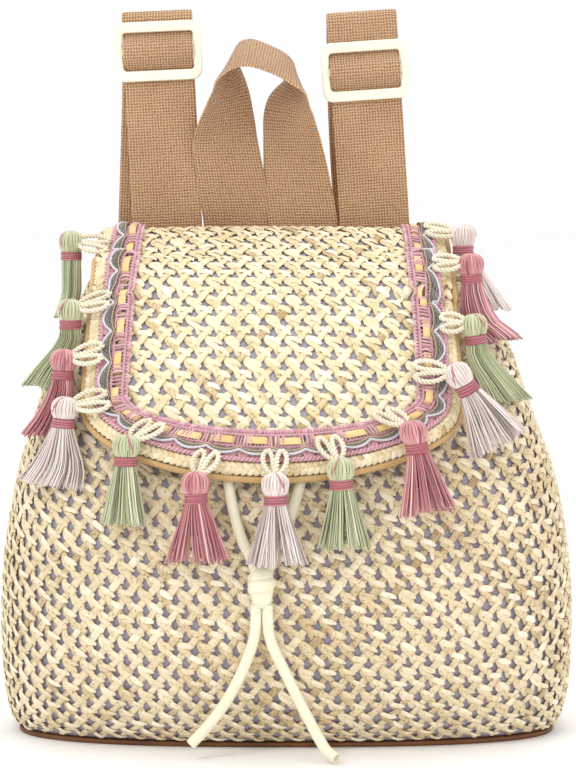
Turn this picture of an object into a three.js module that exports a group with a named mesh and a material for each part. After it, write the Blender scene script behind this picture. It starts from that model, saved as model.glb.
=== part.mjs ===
// A small drawstring backpack of woven straw, standing on its base: a lined straw bag with a gathered
// mouth, a flap edged with lace, ribbon, braid and tassels, webbing straps with sliders, a grab handle
// and a knotted tube drawstring. Millimetres, +X right as seen from the front, -Y front, +Z up, origin
// on the floor under the middle of the bag.
import * as THREE from "three";

// Driving sizes
const bodyWidth = 300;
const bodyDepth = 129;
const bodyHeight = 244;
const frontSquareness = 2.6;
const backSquareness = 4;
const pleats = 12;
const strawWall = 2.2;
const liningWall = 0.8;
const basePlate = 2.7;
const baseEdge = 1.2;
const hemHeight = 8;
const hemSwell = 6.4;
const seat = 0.3;
const trimSeat = 1;
const layerSeat = 1.2;
const flapWidth = 191;
const flapBow = 44;
const flapShift = -7;
const flapCrown = 5;
const flapCurl = 8;
const flapRest = 1.8;
const flapBeside = 8;
const trimBack = 29;
const bindingWidth = 4;
const borderWidth = 5.5;
const borderThick = 2.2;
const laceWidth = 16;
const laceThick = 1.2;
const ribbonWidth = 3.6;
const ribbonThick = 0.8;
const braidWidth = 3;
const braidWave = 1.6;
const braidThick = 1;
const scallop = 18.5;
const tasselLength = 49;
const tasselHead = 13.4;
const loopLength = 12;
const loopThick = 2.6;
const webbingWidth = 38;
const webbingThick = 1.5;
const strapRise = 137;
const strapFold = 4;
const strapSewn = 28;
const sliderWidth = 47;
const sliderHeight = 32;
const sliderThick = 3;
const sliderBar = 5.7;
const sliderSide = 4.2;
const sliderCorner = 5.5;
const centreBar = 4.6;
const handleRise = 113;
const cordWidth = 5.6;
const knotWidth = 15;

// Body sections from the base up. Heights are shares of bodyHeight, half widths and leans of
// bodyWidth, and the front, widest and back places of bodyDepth; pleat is the depth of the gathers.
const bodySections = [
  // height, halfWidth, lean, front, widest, back, pleat
  [0.0123, 0.472, 0, -0.364, 0.016, 0.388, 0],
  [0.037, 0.484, 0, -0.422, 0.008, 0.415, 0],
  [0.07, 0.491, 0, -0.469, 0, 0.43, 0],
  [0.123, 0.497, 0, -0.516, 0, 0.446, 0],
  [0.193, 0.4993, 0, -0.543, 0, 0.45, 0],
  [0.262, 0.5, 0, -0.55, 0, 0.45, 0],
  [0.361, 0.496, 0, -0.545, 0, 0.45, 0],
  [0.459, 0.486, 0, -0.523, 0.016, 0.446, 0],
  [0.566, 0.468, -0.001, -0.469, 0.031, 0.444, 0],
  [0.656, 0.444, -0.003, -0.391, 0.054, 0.442, 0],
  [0.746, 0.42, -0.005, -0.298, 0.085, 0.442, 0],
  [0.836, 0.397, -0.007, -0.182, 0.132, 0.442, 0.004],
  [0.91, 0.363, -0.008, -0.054, 0.186, 0.442, 0.01],
  [0.967, 0.338, -0.01, 0.07, 0.233, 0.442, 0.016],
  [1, 0.322, -0.012, 0.147, 0.26, 0.442, 0.02],
];
const hemFoot = bodyHeight - hemHeight;
const sectionCurve = new THREE.CubicInterpolant(
  new Float32Array(bodySections.map((row) => row[0])),
  new Float32Array(bodySections.flatMap((row) => row.slice(1))),
  bodySections[0].length - 1,
);

function sectionAt(z) {
  const share = THREE.MathUtils.clamp(z / bodyHeight, bodySections[0][0], 1);
  const [halfWidth, lean, front, widest, back, pleat] = sectionCurve.evaluate(share);
  return {
    half: halfWidth * bodyWidth,
    lean: lean * bodyWidth,
    front: front * bodyDepth,
    widest: widest * bodyDepth,
    back: back * bodyDepth,
    pleat,
  };
}

// One horizontal ring of the bag, in even steps from the middle of the front; out moves it outwards.
// The front half is rounder than the back, and swell thickens the front half alone.
function bodyRing(z, out, count, swell = 0) {
  const s = sectionAt(z);
  const dense = [];
  const samples = 720;
  for (let i = 0; i <= samples; i++) {
    const angle = -Math.PI / 2 + (i / samples) * 2 * Math.PI;
    const c = Math.cos(angle);
    const n = Math.sin(angle);
    const front = n < 0;
    const power = 2 / (front ? frontSquareness : backSquareness);
    const grown = out + (front ? swell : 0);
    const reach = (front ? s.widest - s.front : s.back - s.widest) + grown;
    const x = s.lean + (s.half + out) * Math.sign(c) * Math.abs(c) ** power;
    dense.push(new THREE.Vector3(x, s.widest + reach * Math.sign(n) * Math.abs(n) ** power, z));
  }
  const lengths = [0];
  for (let i = 1; i <= samples; i++) lengths.push(lengths[i - 1] + dense[i].distanceTo(dense[i - 1]));
  const ring = [];
  let k = 0;
  for (let i = 0; i < count; i++) {
    const target = (lengths[samples] * i) / count;
    while (lengths[k + 1] < target) k++;
    const share = (target - lengths[k]) / (lengths[k + 1] - lengths[k]);
    const p = dense[k].clone().lerp(dense[k + 1], share);
    const facing = THREE.MathUtils.clamp((s.widest - p.y) / (s.widest - s.front), 0, 1);
    const wave = s.pleat * facing * (Math.cos((2 * Math.PI * pleats * i) / count) - 1);
    const middle = new THREE.Vector3(s.lean, s.widest, z);
    ring.push(p.sub(middle).multiplyScalar(1 + wave).add(middle));
  }
  return ring;
}

// Whether a point lies outside the bag by a margin. Beside the mouth's hem the margin grows by more.
function clearOfBody(p, rest, more = 0) {
  if (p.z > bodyHeight + rest) return true;
  const margin = rest + more * THREE.MathUtils.smoothstep(p.z, hemFoot - 25, hemFoot);
  const s = sectionAt(p.z);
  const front = p.y < s.widest;
  const power = front ? frontSquareness : backSquareness;
  const swell = front && p.z > hemFoot - margin ? hemSwell : 0;
  const reach = (front ? s.widest - s.front + swell : s.back - s.widest) + margin;
  const across = Math.abs(p.x - s.lean) / (s.half + margin);
  const deep = Math.abs(p.y - s.widest) / reach;
  return across ** power + deep ** power >= 1;
}

// Moves a point straight away from the bag's middle line until it is clear by the margin.
function restOnBody(p, margin) {
  const s = sectionAt(p.z);
  const away = new THREE.Vector3(p.x - s.lean, p.y - s.widest, 0);
  const q = p.clone();
  const step = 0.25;
  away.setLength(step);
  while (!clearOfBody(q, margin)) q.add(away);
  return q;
}

// Geometry helpers

// A closed skin over rings of points, all with the same even count. The rings join end to start when
// loop is true, and otherwise each end is closed with a strip of facets. The second half of each ring
// is cut along the other diagonal, so that both faces of a sheet bend alike.
function loft(rings, loop = false) {
  const n = rings[0].length;
  const positions = rings.flat().flatMap((p) => [p.x, p.y, p.z]);
  const index = [];
  const last = loop ? rings.length : rings.length - 1;
  for (let i = 0; i < last; i++) {
    const a = i * n;
    const b = ((i + 1) % rings.length) * n;
    for (let j = 0; j < n; j++) {
      const k = (j + 1) % n;
      if (loop || j < n / 2) index.push(a + j, a + k, b + k, a + j, b + k, b + j);
      else index.push(a + j, a + k, b + j, a + k, b + k, b + j);
    }
  }
  if (!loop) {
    const end = (rings.length - 1) * n;
    for (let k = 0; k < n / 2 - 1; k++) {
      const [a, b, c, d] = [k, k + 1, n - 2 - k, n - 1 - k];
      index.push(c, b, a, d, c, a);
      index.push(end + a, end + b, end + c, end + a, end + c, end + d);
    }
  }
  const geometry = new THREE.BufferGeometry();
  geometry.setAttribute("position", new THREE.Float32BufferAttribute(positions, 3));
  geometry.setIndex(index);
  geometry.computeVertexNormals();
  return geometry;
}

// A flat strip of webbing along stations, each with a centre and the direction across the strip.
function webbingStrip(stations) {
  const rings = stations.map(({ centre, across }, i) => {
    const before = stations[Math.max(i - 1, 0)].centre;
    const after = stations[Math.min(i + 1, stations.length - 1)].centre;
    const into = centre.clone().sub(before).normalize();
    const out = after.clone().sub(centre).normalize();
    if (into.length() === 0) into.copy(out);
    if (out.length() === 0) out.copy(into);
    const along = into.clone().add(out).normalize();
    const side = across.clone().addScaledVector(along, -across.dot(along)).normalize();
    const face = along.clone().cross(side).normalize();
    const mitre = webbingThick / 2 / along.dot(into);
    const w = webbingWidth / 2;
    return [
      centre.clone().addScaledVector(side, -w).addScaledVector(face, -mitre),
      centre.clone().addScaledVector(side, w).addScaledVector(face, -mitre),
      centre.clone().addScaledVector(side, w).addScaledVector(face, mitre),
      centre.clone().addScaledVector(side, -w).addScaledVector(face, mitre),
    ];
  });
  return loft(rings);
}

function roundTube(points, diameter, sides, steps) {
  const section = new THREE.Shape();
  for (let i = 0; i < sides; i++) {
    const angle = (2 * Math.PI * i) / sides;
    const x = (diameter / 2) * Math.cos(angle);
    const y = (diameter / 2) * Math.sin(angle);
    if (i === 0) section.moveTo(x, y);
    else section.lineTo(x, y);
  }
  section.closePath();
  const route = new THREE.CatmullRomCurve3(points, false, "centripetal");
  return new THREE.ExtrudeGeometry(section, { steps, extrudePath: route, bevelEnabled: false });
}

const backpack = new THREE.Group();
function addPiece(name, geometry, color, roughness, metalness = 0) {
  const mesh = new THREE.Mesh(geometry, new THREE.MeshStandardMaterial({ color, roughness, metalness }));
  mesh.name = name;
  backpack.add(mesh);
  return mesh;
}

const straw = "#dcc8a0";
const flapStraw = "#f2e3b4";
const lilacCloth = "#a9a0ad";
const brownHide = "#7a4b22";
const tanBinding = "#cba66b";
const roseLace = "#cf97a3";
const yellowTape = "#f0cd6e";
const silverThread = "#b5b0ac";
const tanWebbing = "#bf936d";
const ivoryPlastic = "#fbf6e2";
const ivoryCord = "#f2edd4";
const creamYarn = "#f0e8d2";
const yarnColours = { rose: "#c0677a", pale: "#e4d0d0", green: "#a9b98c" };

// The bag: straw wall, lining, base and mouth hem
const aroundBody = 48;
const aroundLining = 24;
const wallFoot = basePlate + seat;
const wallLevels = bodySections.slice(1, -2).map((row) => row[0] * bodyHeight);
const wallHeights = [wallFoot, ...wallLevels, hemFoot - seat];

addPiece(
  "body_weave",
  loft(
    [
      ...wallHeights.map((z) => bodyRing(z, 0, aroundBody)),
      ...[...wallHeights].reverse().map((z) => bodyRing(z, -strawWall, aroundBody)),
    ],
    true,
  ),
  straw,
  0.85,
);

const liningOut = -strawWall - 2 * seat;
const liningLevels = wallLevels.filter((z, i) => i % 2 === 1 || z > 0.7 * bodyHeight);
const liningHeights = [wallFoot, ...liningLevels, hemFoot - seat];
const liningInner = [wallFoot + liningWall, ...liningLevels, hemFoot - seat];
addPiece(
  "body_lining",
  loft([
    ...liningHeights.map((z) => bodyRing(z, liningOut, aroundLining)),
    ...liningInner.reverse().map((z) => bodyRing(z, liningOut - liningWall, aroundLining)),
  ]),
  lilacCloth,
  0.9,
);

addPiece(
  "base_panel",
  loft([
    bodyRing(0, -baseEdge, aroundBody),
    bodyRing(baseEdge, 0, aroundBody),
    bodyRing(basePlate, 0, aroundBody),
  ]),
  brownHide,
  0.6,
);

addPiece(
  "mouth_hem",
  loft(
    [
      bodyRing(hemFoot, 0, aroundBody, hemSwell),
      bodyRing(bodyHeight, 0, aroundBody, hemSwell),
      bodyRing(bodyHeight, liningOut - liningWall, aroundBody),
      bodyRing(hemFoot, liningOut - liningWall, aroundBody),
    ],
    true,
  ),
  straw,
  0.85,
);

// The flap: its inner face along the middle, from the hem on the back panel, over the mouth and down
// the front. Depths are shares of bodyDepth and heights of bodyHeight.
const flapProfile = [
  // depth, height
  [0.445, 0.951],
  [0.446, 1],
  [0.437, 1.037],
  [0.399, 1.063],
  [0.341, 1.07],
  [0.264, 1.057],
  [0.167, 1.029],
  [0.078, 1.002],
  [0.004, 0.977],
  [-0.113, 0.921],
  [-0.205, 0.865],
  [-0.283, 0.809],
  [-0.35, 0.752],
  [-0.442, 0.662],
  [-0.522, 0.566],
];
const flapLine = new THREE.CatmullRomCurve3(
  flapProfile.map(([depth, height]) => new THREE.Vector3(0, depth * bodyDepth, height * bodyHeight)),
  false,
  "centripetal",
);
const flapReach = flapLine.getLength();
const flapHalf = flapWidth / 2;
const flapEnd = flapReach - bindingWidth - seat;
const bowStart = flapEnd - flapBow;
const hemNarrowing = 0.045;

const weaveFoot = liningWall + 2 * seat;
const weaveTop = weaveFoot + strawWall;
const trimFoot = weaveTop + trimSeat;
const borderTop = trimFoot + borderThick;
const laceTop = trimFoot + laceThick;
const overLace = laceTop + layerSeat;
const braidTop = overLace + braidThick;

// The flap's inner face: it falls away towards its sides, and stays clear of the bag under it.
function flapFace(across, along) {
  const u = THREE.MathUtils.clamp(along / flapReach, 0, 1);
  const line = flapLine.getPointAt(u);
  const tangent = flapLine.getTangentAt(u);
  line.addScaledVector(tangent, along - u * flapReach);
  const outward = new THREE.Vector3(0, tangent.z, -tangent.y);
  const share = across / flapHalf;
  const fold = THREE.MathUtils.smoothstep(u, 0.08, 0.34);
  const drop = (flapCrown * share ** 2 + flapCurl * share ** 6) * fold;
  line.x = flapShift + across * (1 - 0.02 * share ** 4);
  let low = 0;
  let high = 1;
  const fallen = (part) => line.clone().addScaledVector(outward, -drop * part);
  if (clearOfBody(fallen(1), flapRest, flapBeside)) return fallen(1);
  for (let i = 0; i < 12; i++) {
    const middle = (low + high) / 2;
    if (clearOfBody(fallen(middle), flapRest, flapBeside)) low = middle;
    else high = middle;
  }
  return fallen(low);
}

function flapNormal(across, along) {
  const step = 4;
  const a = flapFace(across + step, along).sub(flapFace(across - step, along));
  const b = flapFace(across, along + step).sub(flapFace(across, along - step));
  return b.cross(a).normalize();
}

function flapPoint(across, along, height) {
  return flapFace(across, along).addScaledVector(flapNormal(across, along), height);
}

// A place near the flap's edge: share runs from the left end of the hem round to the right end, and
// inset is measured in from the edge of the straw.
const bow = new THREE.EllipseCurve(0, bowStart, flapHalf, flapBow, Math.PI, 0, true);
const bowLength = bow.getLength();
const edgeLength = 2 * bowStart + bowLength;
const scallops = Math.round(edgeLength / scallop);
function edgeStation(share) {
  const run = share * edgeLength;
  const onBow = (run - bowStart) / bowLength;
  if (onBow > 0 && onBow < 1) return { angle: Math.PI * bow.getUtoTmapping(onBow) };
  return share < 0.5 ? { side: -1, along: run } : { side: 1, along: edgeLength - run };
}

function insetPoint({ side, along, angle }, inset, height) {
  if (angle !== undefined) {
    const across = -(flapHalf - inset) * Math.cos(angle);
    return flapPoint(across, bowStart + (flapBow - inset) * Math.sin(angle), height);
  }
  const narrowing = hemNarrowing * (1 - along / bowStart);
  return flapPoint(side * (flapHalf * (1 - narrowing) - inset), along, height);
}

function edgePoint(share, inset, height) {
  return insetPoint(edgeStation(share), inset, height);
}

// Rows across the flap, closer where it folds over at the top: shares of its straight sides, and then
// angles round its bow.
const sideRows = [0, 0.06, 0.1, 0.13, 0.16, 0.19, 0.23, 0.29, 0.38, 0.5, 0.63, 0.76, 0.88, 1];
const bowRows = [0.2, 0.4, 0.6, 0.8, 1];
const bowSweep = THREE.MathUtils.degToRad(82);
const flapColumns = 14;

function flapSheet(bottom, top) {
  const rows = sideRows.map((share) => ({
    along: bowStart * share,
    half: flapHalf * (1 - hemNarrowing * (1 - share)),
  }));
  bowRows.forEach((share) => {
    const angle = share * bowSweep;
    rows.push({ along: bowStart + flapBow * Math.sin(angle), half: flapHalf * Math.cos(angle) });
  });
  const rings = rows.map(({ along, half }) => {
    const upper = [];
    const lower = [];
    for (let j = 0; j <= flapColumns; j++) {
      const across = half * Math.sin(((2 * j) / flapColumns - 1) * (Math.PI / 2));
      upper.push(flapPoint(across, along, top));
      lower.push(flapPoint(across, along, bottom));
    }
    return [...upper, ...lower.reverse()];
  });
  return loft(rings.reverse());
}

// A band that follows the flap's edge between two insets, in a few columns so that it bends with it.
function edgeBand(from, to, bottom, top, columns, start = 0, wave = null) {
  const run = start * edgeLength;
  const alongs = [run, ...sideRows.map((share) => share * bowStart).filter((along) => along > run)];
  const angles = bowRows.map((share) => share * bowSweep);
  const plain = [
    ...alongs.map((along) => ({ side: -1, along })),
    ...[...angles, Math.PI / 2, ...angles.map((angle) => Math.PI - angle).reverse()].map((angle) => ({ angle })),
    ...alongs.map((along) => ({ side: 1, along })).reverse(),
  ];
  const waves = scallops * 4;
  const shares = Array.from({ length: waves + 1 }, (_, i) => start + ((1 - 2 * start) * i) / waves);
  const stations = wave ? shares.map((share) => ({ ...edgeStation(share), shift: wave(share) })) : plain;
  const rings = [];
  for (const station of stations) {
    const shift = station.shift ?? 0;
    const upper = [];
    const lower = [];
    for (let j = 0; j <= columns; j++) {
      const inset = from + shift + ((to - from) * j) / columns;
      upper.push(insetPoint(station, inset, top));
      lower.push(insetPoint(station, inset, bottom));
    }
    rings.push([...upper, ...lower.reverse()]);
  }
  return loft(rings.reverse());
}

addPiece("flap_lining", flapSheet(0, liningWall), lilacCloth, 0.9);
addPiece("flap_weave", flapSheet(weaveFoot, weaveTop), flapStraw, 0.85);
addPiece(
  "flap_binding",
  edgeBand(-bindingWidth - 2 * seat, -2 * seat, 0, weaveTop, 1),
  tanBinding,
  0.6,
);
addPiece("flap_braid_border", edgeBand(0, borderWidth, trimFoot, borderTop, 1), straw, 0.85);
const trimStart = trimBack / edgeLength;
const laceStart = borderWidth + seat;
addPiece(
  "lace_trim",
  edgeBand(laceStart, laceStart + laceWidth, trimFoot, laceTop, 3, trimStart),
  roseLace,
  0.9,
);
const ribbonStart = laceStart + laceWidth * 0.62;
addPiece(
  "threaded_ribbon",
  edgeBand(ribbonStart, ribbonStart + ribbonWidth, overLace, overLace + ribbonThick, 1, trimStart),
  yellowTape,
  0.5,
);
const braidStart = laceStart + laceWidth * 0.3;
addPiece(
  "silver_braid",
  edgeBand(
    braidStart - braidWidth / 2,
    braidStart + braidWidth / 2,
    overLace,
    braidTop,
    1,
    trimStart,
    (share) => braidWave * Math.cos((2 * Math.PI * scallops * (share - trimStart)) / (1 - 2 * trimStart)),
  ),
  silverThread,
  0.45,
  0.3,
);

// Tassels: a round head on a wrapped neck over a flattened skirt of five locks
const tasselSections = [
  // along, width, thickness, lock: along as a share of tasselLength, the others of tasselHead
  [0, 0.3, 0.3, 0],
  [0.06, 0.82, 0.78, 0],
  [0.14, 1, 0.94, 0],
  [0.22, 0.92, 0.88, 0],
  [0.27, 0.76, 0.74, 0],
  [0.35, 0.78, 0.74, 0.02],
  [0.5, 1.15, 0.76, 0.08],
  [0.75, 1.75, 0.78, 0.12],
  [1, 2.3, 0.76, 0.14],
];
const lockSides = 10;
const headDrop = 0.14 * tasselLength;
const skirtRest = 0.35;

// Where each tassel hangs: share along the flap's edge, how far in from the straw's edge its head
// sits (a share of the head), the lean of its skirt in degrees from straight down, the width of its
// skirt, how far out the skirt stands from under the head (a share of the head), and its yarn.
const tassels = [
  // share, inset, lean, width, stand, yarn
  [0.1, -0.85, 0, 0.8, 0, "green"],
  [0.187, -0.5, 0, 0.7, 0, "green"],
  [0.2475, -0.6, 4, 0.75, 0, "rose"],
  [0.3, -0.3, 6, 1.15, 0, "pale"],
  [0.3675, 0, 2, 0.75, 0.1, "green"],
  [0.4375, -0.7, -2, 1, 0, "rose"],
  [0.5025, -0.5, -1, 0.95, 0.35, "pale"],
  [0.56, -0.1, -3, 0.85, 0.1, "green"],
  [0.64, 0.6, -9, 0.9, 0.95, "rose"],
  [0.7275, 0.5, -28, 1, 0.95, "pale"],
  [0.785, -0.6, -8, 0.7, 0, "green"],
  [0.85, -0.6, -4, 0.7, 0, "rose"],
  [0.92, -0.5, 0, 0.8, 0, "pale"],
];

function tasselSkin(head, lean, spread, stand) {
  const down = new THREE.Vector3(-Math.sin(lean), 0, -Math.cos(lean));
  const top = head.clone().addScaledVector(down, -headDrop);
  const s = sectionAt(head.z);
  const deep = head.y < s.widest ? s.widest - s.front : s.back - s.widest;
  const slope = (share, reach) => (Math.sign(share) * Math.abs(share) ** (frontSquareness - 1)) / reach;
  const outward = new THREE.Vector3(
    slope((head.x - s.lean) / s.half, s.half),
    slope((head.y - s.widest) / deep, deep),
    0,
  ).normalize();
  const side = outward.clone().cross(down).normalize();
  const rings = tasselSections.map(([along, width, thickness, lock]) => {
    const stood = stand * tasselHead * THREE.MathUtils.smoothstep(along, 0.1, 0.5);
    const free = top.clone().addScaledVector(down, along * tasselLength).addScaledVector(outward, stood);
    const centre = restOnBody(free, (thickness * tasselHead) / 2 + skirtRest);
    const broad = 1 + (spread - 1) * THREE.MathUtils.smoothstep(along, 0.3, 0.7);
    const around = () =>
      Array.from({ length: lockSides }, (_, i) => {
        const angle = (2 * Math.PI * (i + 0.5)) / lockSides;
        const depth = 1 + lock * (i % 2 ? 1 : -1);
        const w = (width * broad * tasselHead * depth * Math.cos(angle)) / 2;
        const t = (thickness * tasselHead * depth * Math.sin(angle)) / 2;
        return centre.clone().addScaledVector(side, w).addScaledVector(outward, t);
      });
    while (!around().every((p) => clearOfBody(p, skirtRest))) centre.addScaledVector(outward, 0.25);
    return around();
  });
  return loft(rings);
}

const headHeight = borderTop + seat + tasselHead / 2;
const loopHeight = braidTop + loopThick / 2;
const loopSpread = 0.32 * tasselHead;
tassels.forEach(([share, inset, lean, width, stand, yarn], i) => {
  const number = String(i + 1).padStart(2, "0");
  const headInset = inset * tasselHead;
  const headPlace = edgePoint(share, headInset, headHeight);
  const head = restOnBody(headPlace, tasselHead / 2 + seat);
  addPiece(
    "tassel_" + number,
    tasselSkin(head, THREE.MathUtils.degToRad(lean), width, stand),
    yarnColours[yarn],
    0.55,
  );
  const rootInset = headInset + loopLength + 0.2 * tasselHead;
  const turn = loopSpread / edgeLength;
  const crown = head.clone().sub(edgePoint(share, rootInset, loopHeight));
  const reach = crown.length() - tasselHead / 2 - loopThick / 2 + seat;
  const bottom = edgePoint(share, rootInset, loopHeight).addScaledVector(crown.normalize(), reach);
  const left = edgePoint(share - turn, rootInset, loopHeight);
  const right = edgePoint(share + turn, rootInset, loopHeight);
  const spread = right.clone().sub(left).multiplyScalar(0.35);
  addPiece(
    "tassel_loop_" + number,
    roundTube(
      [
        left,
        left.clone().lerp(bottom, 0.6).addScaledVector(spread, -0.5),
        bottom,
        right.clone().lerp(bottom, 0.6).addScaledVector(spread, 0.5),
        right,
      ],
      loopThick,
      4,
      8,
    ),
    creamYarn,
    0.8,
  );
});

// Shoulder straps: sewn to the back over the flap's hem, up through a slider, folded over at the top
// and down to the foot of the back. The arm goes between the strap and the back.
const backFace = 0.445 * bodyDepth + weaveTop;
const sewnDepth = backFace + seat + webbingThick / 2;
const strapTop = bodyHeight + strapRise;
const flapTop = 1.084 * bodyHeight;
const straps = [
  // side, x at the flap's top as a share of bodyWidth, lean in degrees, slider below the top, foot x
  { side: "left", place: -0.217, lean: 2.6, sliderDrop: 22, foot: -0.293, bend: -0.27 },
  { side: "right", place: 0.161, lean: 3.9, sliderDrop: 32.5, foot: 0.293, bend: 0.19 },
];
const strapBack = [
  // how far behind the back panel (share of bodyDepth), height (share of bodyHeight)
  [0.06, 1.42],
  [0.085, 1.2],
  [0.13, 1],
  [0.24, 0.78],
  [0.3, 0.56],
  [0.26, 0.36],
  [0.14, 0.22],
];
const footHeight = 0.15 * bodyHeight;
const footTurn = 5.4;

function shoulderStrap({ place, lean, sliderDrop, foot, bend }) {
  const slope = Math.tan(THREE.MathUtils.degToRad(lean));
  const lineX = (z) => place * bodyWidth - slope * (z - flapTop);
  const angle = THREE.MathUtils.degToRad(lean);
  const across = new THREE.Vector3(Math.cos(angle), 0, Math.sin(angle));
  const at = (depth, z) => ({ centre: new THREE.Vector3(lineX(z), depth, z), across });
  const sliderZ = strapTop - sliderDrop;
  const step = sliderThick / 2 + seat + webbingThick / 2;
  const sliderY = sewnDepth - 0.06 * bodyDepth;
  const slot = sliderHeight / 2 - sliderBar;
  const foldZ = strapTop - strapFold - webbingThick / 2;
  const front = sliderY + step;
  const stations = [
    at(sewnDepth, hemFoot - strapSewn / 2),
    at(sewnDepth, bodyHeight + 2),
    at(sewnDepth - 0.1 * (sewnDepth - front), flapTop),
    at((sewnDepth + front) / 2, (flapTop + sliderZ) / 2 - 0.06 * bodyHeight),
    at(front, sliderZ - sliderHeight / 2 - 1),
    at(front, sliderZ - slot + 0.7),
    at(sliderY - step, sliderZ - centreBar / 2 - 0.9),
    at(sliderY - step - 0.5, sliderZ),
    at(sliderY - step, sliderZ + centreBar / 2 + 0.9),
    at(front, sliderZ + slot - 0.7),
    at(front, sliderZ + sliderHeight / 2 + 0.6),
  ];
  for (let i = 0; i <= 6; i++) {
    const angle = Math.PI - (Math.PI * i) / 6;
    const y = front + strapFold + strapFold * Math.cos(angle);
    stations.push(at(y, foldZ + strapFold * Math.sin(angle)));
  }
  const topX = lineX(foldZ);
  const behind = strapBack.map(([gap, height]) => [backFace + gap * bodyDepth, height * bodyHeight]);
  const drop = new THREE.CatmullRomCurve3(
    [
      new THREE.Vector3(topX, front + 2 * strapFold, foldZ),
      ...behind.map(([y, z]) => {
        const fall = (foldZ - z) / (foldZ - footHeight);
        const x = THREE.MathUtils.lerp(topX, foot * bodyWidth, fall ** (bend > 0 ? 2 : 1.4));
        return new THREE.Vector3(x, y, z);
      }),
      new THREE.Vector3(foot * bodyWidth, 0.4425 * bodyDepth + seat + webbingThick / 2, footHeight),
    ],
    false,
    "centripetal",
  );
  const backSteps = 18;
  const tilt = THREE.MathUtils.degToRad(footTurn) * -Math.sign(foot);
  for (let i = 1; i <= backSteps; i++) {
    const share = i / backSteps;
    const turned = new THREE.Vector3(1, Math.tan(tilt * share ** 3), 0);
    stations.push({ centre: drop.getPointAt(share), across: turned });
  }
  const sewnFoot = new THREE.Vector3(0, -0.006 * bodyDepth, -0.4 * strapSewn);
  stations.push({
    centre: stations[stations.length - 1].centre.clone().add(sewnFoot),
    across: new THREE.Vector3(1, Math.tan(tilt), 0),
  });
  const sliderPlace = new THREE.Vector3(lineX(sliderZ), sliderY, sliderZ);
  return { strip: webbingStrip(stations), sliderPlace };
}

function roundedRectangle(path, x, y, width, height, radius) {
  path.moveTo(x - width / 2 + radius, y - height / 2);
  path.absarc(x + width / 2 - radius, y - height / 2 + radius, radius, -Math.PI / 2, 0);
  path.absarc(x + width / 2 - radius, y + height / 2 - radius, radius, 0, Math.PI / 2);
  path.absarc(x - width / 2 + radius, y + height / 2 - radius, radius, Math.PI / 2, Math.PI);
  path.absarc(x - width / 2 + radius, y - height / 2 + radius, radius, Math.PI, 1.5 * Math.PI);
  return path;
}

function sliderFrame() {
  const outline = roundedRectangle(new THREE.Shape(), 0, 0, sliderWidth, sliderHeight, sliderCorner);
  const slotHeight = sliderHeight / 2 - sliderBar - centreBar / 2;
  const slotMiddle = centreBar / 2 + slotHeight / 2;
  for (const way of [-1, 1]) {
    const slotWidth = sliderWidth - 2 * sliderSide;
    const slot = roundedRectangle(new THREE.Path(), 0, way * slotMiddle, slotWidth, slotHeight, 1);
    outline.holes.push(slot);
  }
  const frame = new THREE.ExtrudeGeometry(outline, {
    depth: sliderThick,
    bevelEnabled: false,
    curveSegments: 3,
  });
  frame.translate(0, 0, -sliderThick / 2);
  frame.rotateX(Math.PI / 2);
  return frame;
}

straps.forEach((strap) => {
  const { strip, sliderPlace } = shoulderStrap(strap);
  addPiece("strap_" + strap.side, strip, tanWebbing, 0.8);
  const slider = addPiece("slider_" + strap.side, sliderFrame(), ivoryPlastic, 0.35);
  slider.position.copy(sliderPlace);
  slider.rotation.y = -THREE.MathUtils.degToRad(strap.lean);
});

// Grab handle: across is a share of webbingWidth from the handle's middle, up a share of handleRise
// above the mouth, turn the twist of the webbing in degrees (0 where it arches over, 90 flat).
const handleMiddle = -0.032 * bodyWidth;
const handleTilt = THREE.MathUtils.degToRad(25);
const handleStations = [
  // across, behind the sewn depth, up, turn
  [-0.435, 1.2, -0.19, -90],
  [-0.435, 1.2, 0.03, -90],
  [-0.44, 1, 0.18, -89],
  [-0.5, 0.2, 0.36, -72],
  [-0.54, -0.6, 0.54, -53],
  [-0.57, -2.2, 0.7, -41],
  [-0.55, -4, 0.82, -32],
  [-0.46, -5.5, 0.91, -20],
  [-0.32, -6.5, 0.965, -8],
  [-0.14, -7, 0.99, 0],
  [0.05, -6.5, 0.97, 10],
  [0.2, -5.5, 0.915, 24],
  [0.28, -4, 0.83, 36],
  [0.34, -2.2, 0.68, 50],
  [0.4, -1, 0.5, 66],
  [0.46, -0.2, 0.32, 82],
  [0.5, 0, 0.16, 90],
  [0.525, 0, 0.03, 90],
  [0.525, 0, -0.19, 90],
];
addPiece(
  "grab_handle",
  webbingStrip(
    handleStations.map(([across, behind, up, turn]) => {
      const angle = THREE.MathUtils.degToRad(turn);
      const x = handleMiddle + across * webbingWidth;
      const y = sewnDepth + behind * webbingThick;
      return {
        centre: new THREE.Vector3(x, y, bodyHeight + up * handleRise),
        across: new THREE.Vector3(
          Math.sin(angle),
          -Math.cos(angle) * Math.cos(handleTilt),
          -Math.cos(angle) * Math.sin(handleTilt),
        ),
      };
    }),
  ),
  tanWebbing,
  0.8,
);

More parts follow.
